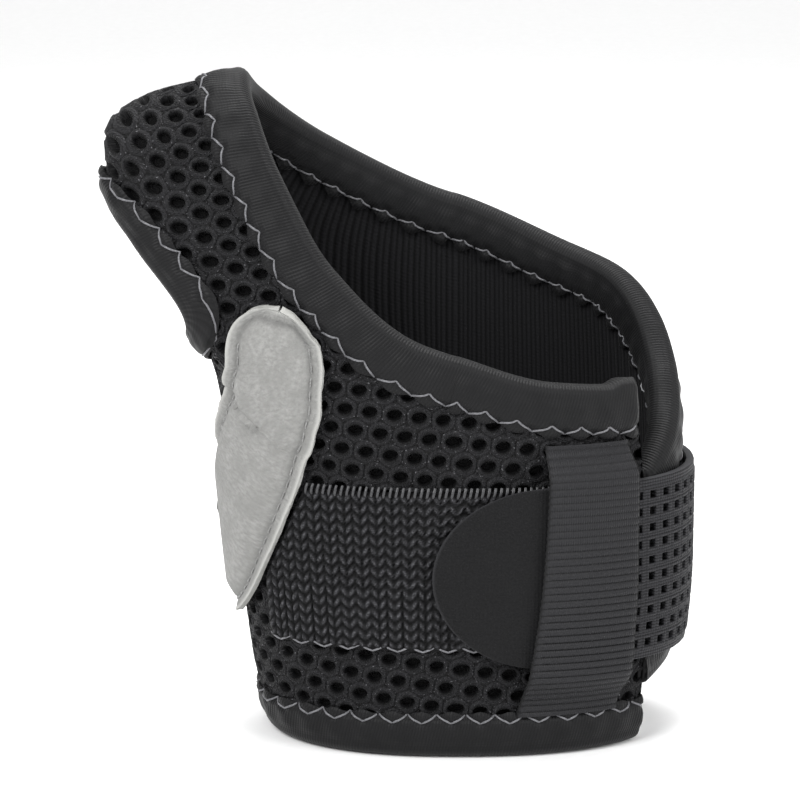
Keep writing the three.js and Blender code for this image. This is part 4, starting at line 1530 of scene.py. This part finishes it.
class SPLINT_OT_elastic_strap(bpy.types.Operator):
    """Woven elastic: one frame round an open square, repeated, with plain woven borders"""

    bl_idname = "splint.elastic_strap"
    bl_label = "Elastic strap"

    def execute(self, context):
        sizes, colours = settings(context)
        start, end = PALM_RULER.of(STRAP_PALM_TURN), PALM_RULER.of(STRAP_BACK_TURN)
        border = 1.25 * MM
        columns = int((end - start - 2 * border) / sizes.square_width)
        rows = int((STRAP_HEIGHT - 2 * border) / sizes.square_height)
        wide = (end - start - 2 * border) / columns
        tall = (STRAP_HEIGHT - 2 * border) / rows
        bpy.ops.object.select_all(action="DESELECT")
        bpy.ops.mesh.primitive_plane_add(size=1, location=(0.5, 0.5, 0))
        piece = bpy.context.object
        piece.name = "elastic_strap_weave"
        piece.data.name = piece.name
        bpy.ops.object.transform_apply(location=True, rotation=True, scale=True)
        edit_all(piece)
        bpy.ops.transform.resize(value=(wide, tall, 1), center_override=(0, 0, 0))
        for thickness, depth in ((0.14 * wide, 0.22 * MM), (0.14 * wide, -0.2 * MM)):
            bpy.ops.mesh.inset(thickness=thickness, depth=depth)
        bpy.ops.mesh.delete(type="FACE")
        done(piece)
        for count, offset in ((columns, (wide, 0, 0)), (rows, (0, tall, 0))):
            modify(
                piece,
                "ARRAY",
                count=count,
                use_relative_offset=False,
                use_constant_offset=True,
                constant_offset_displace=offset,
                use_merge_vertices=True,
                merge_threshold=0.02 * MM,
            )
        for axis, size in ((0, wide * columns), (1, tall * rows)):
            for edge, way in ((0.0, -1), (size, 1)):
                points = points_of(piece)
                at_edge = np.abs(points[:, axis] - edge) < 0.01 * MM
                for _ in range(2):
                    step = [0.0, 0.0, 0.0]
                    step[axis] = way * border / 2
                    pick(piece, points=at_edge)
                    bpy.ops.mesh.extrude_edges_move(TRANSFORM_OT_translate={"value": step})
                    done(piece)
                    points = points_of(piece)
                    furthest = points[:, axis].max() if way > 0 else points[:, axis].min()
                    at_edge = np.abs(points[:, axis] - furthest) < 0.01 * MM
        flat = points_of(piece)
        along = start + border + flat[:, 0]
        height = STRAP_BOTTOM + border + flat[:, 1]
        turn = PALM_RULER.at(along)
        body = 1.3 * MM
        lift = strap_lift(turn) + body + flat[:, 2] + 0.12 * MM * ripple(along, 31, 9 * MM)
        store_uv(piece, "Cloth", np.column_stack([along, height]) / MM)
        move_points(piece, on_body(turn, height, lift))
        modify(piece, "SOLIDIFY", thickness=body, offset=-1.0)
        modify(piece, "BEVEL", width=0.14 * MM, segments=1, limit_method="ANGLE", angle_limit=radians(50))
        dress(piece, woven_elastic(colours), "strap_elastic", "elastic_strap")
        self.tack(sizes, colours, end)
        return {"FINISHED"}

    def tack(self, sizes, colours, end):
        """Two rows of short stitches hold the strap's sewn end to the back panel."""
        runs = []
        arch = np.array([-0.2, 0.12, 0.18, 0.12, -0.2]) * MM
        share = np.linspace(-0.42, 0.42, len(arch))
        pitch = 2.2 * MM
        for row in (1.9 * MM, 5.2 * MM):
            for step in range(int(STRAP_HEIGHT / pitch)):
                height = STRAP_BOTTOM + (step + 0.6 + share) * pitch
                turn = PALM_RULER.at(np.full_like(height, end - row))
                runs.append(on_body(turn, height, strap_lift(turn) + 1.5 * MM + arch))
        piece = thread_runs("elastic_strap_stitches", runs, sizes.thread_radius)
        dress(piece, sewing_thread("Strap_thread", colours.thread), "strap_elastic")


class SPLINT_OT_hook_tab(bpy.types.Operator):
    """Half-round hook tab, pressed on the loop band, a little lighter along its edge"""

    bl_idname = "splint.hook_tab"
    bl_label = "Hook tab"

    def execute(self, context):
        _, colours = settings(context)
        piece = flat_grid("hook_tab_tape", 46, 60)
        flat = points_of(piece)
        swing = np.sin(pi * flat[:, 1])
        height = STRAP_BOTTOM + STRAP_HEIGHT / 2 * (1 - np.cos(pi * flat[:, 1]))
        reach = TAB_LENGTH * mix(TAB_SHOULDER, 1, swing)
        back = TAB_JOINT + reach * (1 - flat[:, 0])
        along = PALM_RULER.of(STRAP_PALM_TURN) - back
        from_level = np.minimum(height - STRAP_BOTTOM, STRAP_BOTTOM + STRAP_HEIGHT - height)
        from_edge = np.minimum(reach * flat[:, 0], from_level)
        rounding = 0.28 * MM * (1 - smooth_step(from_edge / (0.6 * MM)))
        dish = 0.18 * MM * ripple(along + 0.7 * height, 41, 11 * MM)
        lift = STRAP_LIFT + TAB_THICKNESS - rounding + dish
        store_uv(piece, "Cloth", np.column_stack([along, height]) / MM)
        store_mask(piece, "rim", 0.8 * (1 - smooth_step(from_edge / (0.45 * MM))))
        move_points(piece, on_body(PALM_RULER.at(along), height, lift))
        modify(piece, "SOLIDIFY", thickness=0.95 * MM, offset=-1.0)
        dress(piece, hook_tape_face(colours), "hook_tab", "hook_tab")
        return {"FINISHED"}


class SPLINT_OT_ribbon_keeper(bpy.types.Operator):
    """Grosgrain ribbon over the strap, sewn at both ends"""

    bl_idname = "splint.ribbon_keeper"
    bl_label = "Ribbon keeper"

    def execute(self, context):
        sizes, colours = settings(context)
        foot = WRIST_TAPE_WIDTH + TAPE_GAP - 1.2 * MM
        sewn_foot = WRIST_TAPE_WIDTH + TAPE_GAP
        middle = np.array([(RIBBON_LEFT_TURN + RIBBON_RIGHT_TURN) / 2])
        head = float(hand_height(middle)[0]) - HAND_TAPE_WIDTH - TAPE_GAP - RIBBON_JOINT
        rows = int((head - foot) / sizes.rib_pitch * 8)
        piece = flat_grid("ribbon_keeper_grosgrain", 26, rows)
        flat = points_of(piece)
        height = mix(foot, head, flat[:, 1])
        spread = RIBBON_FLARE * (1 - flat[:, 1]) ** 2
        turn = mix(RIBBON_LEFT_TURN - spread, RIBBON_RIGHT_TURN, flat[:, 0])
        strap_foot, strap_top = STRAP_BOTTOM - RIBBON_EASE, STRAP_BOTTOM + STRAP_HEIGHT + RIBBON_EASE
        climb = np.clip((height - sewn_foot) / (strap_foot - sewn_foot), 0, 1)
        fall = np.clip((head - height) / (head - strap_top), 0, 1)
        over_strap = STRAP_LIFT + STRAP_THICKNESS + RIBBON_GAP
        lift = mix(BAND_GAP, over_strap, smooth_step(np.minimum(climb, fall)))
        crest = np.abs(np.sin(pi * height / sizes.rib_pitch)) ** 0.7
        selvedge = smooth_step(np.minimum(flat[:, 0], 1 - flat[:, 0]) / 0.05)
        crest = crest * selvedge
        lift = lift + RIBBON_THICKNESS + 0.3 * MM * (crest - 0.6) + 0.15 * MM * ripple(height, 51, 13 * MM)
        along = PALM_RULER.of(turn)
        store_uv(piece, "Cloth", np.column_stack([along, height]) / MM)
        # The crest mask, low in the grooves and at the selvedges, drives the material's painted shade
        store_mask(piece, "crest", crest)
        move_points(piece, on_body(turn, height, lift))
        modify(piece, "SOLIDIFY", thickness=0.5 * MM, offset=-1.0)
        dress(piece, grosgrain(colours), "ribbon", "ribbon_keeper")
        return {"FINISHED"}


# Stage

class SPLINT_OT_stage(bpy.types.Operator):
    """Pale paper sweep, soft studio light and the photograph's viewing angle"""

    bl_idname = "splint.stage"
    bl_label = "Stage"

    def execute(self, context):
        self.paper()
        context.scene.view_settings.view_transform = "Standard"
        low, high = (Vector(corner) for corner in CAD_BOX)
        self.lights((low + high) / 2)
        self.camera((low + high) / 2, high.z - low.z)
        return {"FINISHED"}

    def paper(self):
        bpy.ops.object.select_all(action="DESELECT")
        bpy.ops.mesh.primitive_plane_add(size=4, location=(0, 0, 0))
        paper = bpy.context.object
        paper.name = "paper_sweep"
        points = points_of(paper)
        pick(paper, points=points[:, 1] > 0)
        bpy.ops.mesh.extrude_edges_move(TRANSFORM_OT_translate={"value": (0, 0, 2.5)})
        done(paper)
        points = points_of(paper)
        pick(paper, points=(points[:, 1] > 0) & (points[:, 2] < 0.1))
        bpy.ops.mesh.bevel(offset=0.9, segments=14)
        done(paper)
        bpy.ops.object.shade_smooth()
        paper.data.materials.append(studio_paper())

    def lights(self, middle):
        softboxes = [
            ("key_softbox", (-0.55, -0.75, 0.75), 0.55, 13.0),
            ("fill_softbox", (0.8, -0.55, 0.45), 0.6, 6.5),
            ("top_softbox", (0.05, 0.25, 0.95), 0.7, 11.0),
        ]
        for name, place, size, power in softboxes:
            bpy.ops.object.light_add(type="AREA", location=Vector(place) + middle)
            lamp = bpy.context.object
            lamp.name = name
            lamp.data.shape = "SQUARE"
            lamp.data.size = size
            lamp.data.energy = power
            lamp.rotation_euler = (-Vector(place)).to_track_quat("-Z", "Y").to_euler()
        world = bpy.data.worlds.new("Pale_room")
        world.use_nodes = True
        world.node_tree.nodes["Background"].inputs["Color"].default_value = linear("f2f2f2")
        world.node_tree.nodes["Background"].inputs["Strength"].default_value = 0.75
        bpy.context.scene.world = world

    def camera(self, middle, height):
        lens, sensor = 135.0, 36.0
        elevation = radians(12)
        shown = 1.2 * height
        away = shown / (sensor / lens)
        direction = Vector((0, -cos(elevation), sin(elevation)))
        bpy.ops.object.camera_add(location=middle + direction * away)
        camera = bpy.context.object
        camera.name = "photo_camera"
        camera.data.lens = lens
        camera.data.sensor_width = sensor
        camera.data.clip_start = 0.01
        camera.rotation_euler = (-direction).to_track_quat("-Z", "Y").to_euler()
        bpy.context.scene.camera = camera


STEPS = (
    SPLINT_OT_mesh_shell,
    SPLINT_OT_lining,
    SPLINT_OT_edge_bindings,
    SPLINT_OT_binding_stitches,
    SPLINT_OT_suede_patch,
    SPLINT_OT_metal_stay,
    SPLINT_OT_loop_band,
    SPLINT_OT_elastic_strap,
    SPLINT_OT_hook_tab,
    SPLINT_OT_ribbon_keeper,
    SPLINT_OT_stage,
)


class SPLINT_PT_sidebar(bpy.types.Panel):
    """Lists the splint's pieces in the order they are made"""

    bl_idname = "SPLINT_PT_sidebar"
    bl_label = "Thumb spica splint"
    bl_space_type = "VIEW_3D"
    bl_region_type = "UI"
    bl_category = "Splint"

    def draw(self, context):
        for step in STEPS:
            self.layout.operator(step.bl_idname)
        for group in settings(context):
            for name in group.__annotations__:
                self.layout.prop(group, name)


CLASSES = (SplintSizes, SplintColours, *STEPS, SPLINT_PT_sidebar)


def register():
    for item in CLASSES:
        bpy.utils.register_class(item)
    bpy.types.Scene.splint_sizes = bpy.props.PointerProperty(type=SplintSizes)
    bpy.types.Scene.splint_colours = bpy.props.PointerProperty(type=SplintColours)


def unregister():
    del bpy.types.Scene.splint_colours
    del bpy.types.Scene.splint_sizes
    for item in reversed(CLASSES):
        bpy.utils.unregister_class(item)


def main():
    register()
    for step in STEPS:
        group, name = step.bl_idname.split(".")
        getattr(getattr(bpy.ops, group), name)()


if __name__ == "__main__":
    main()
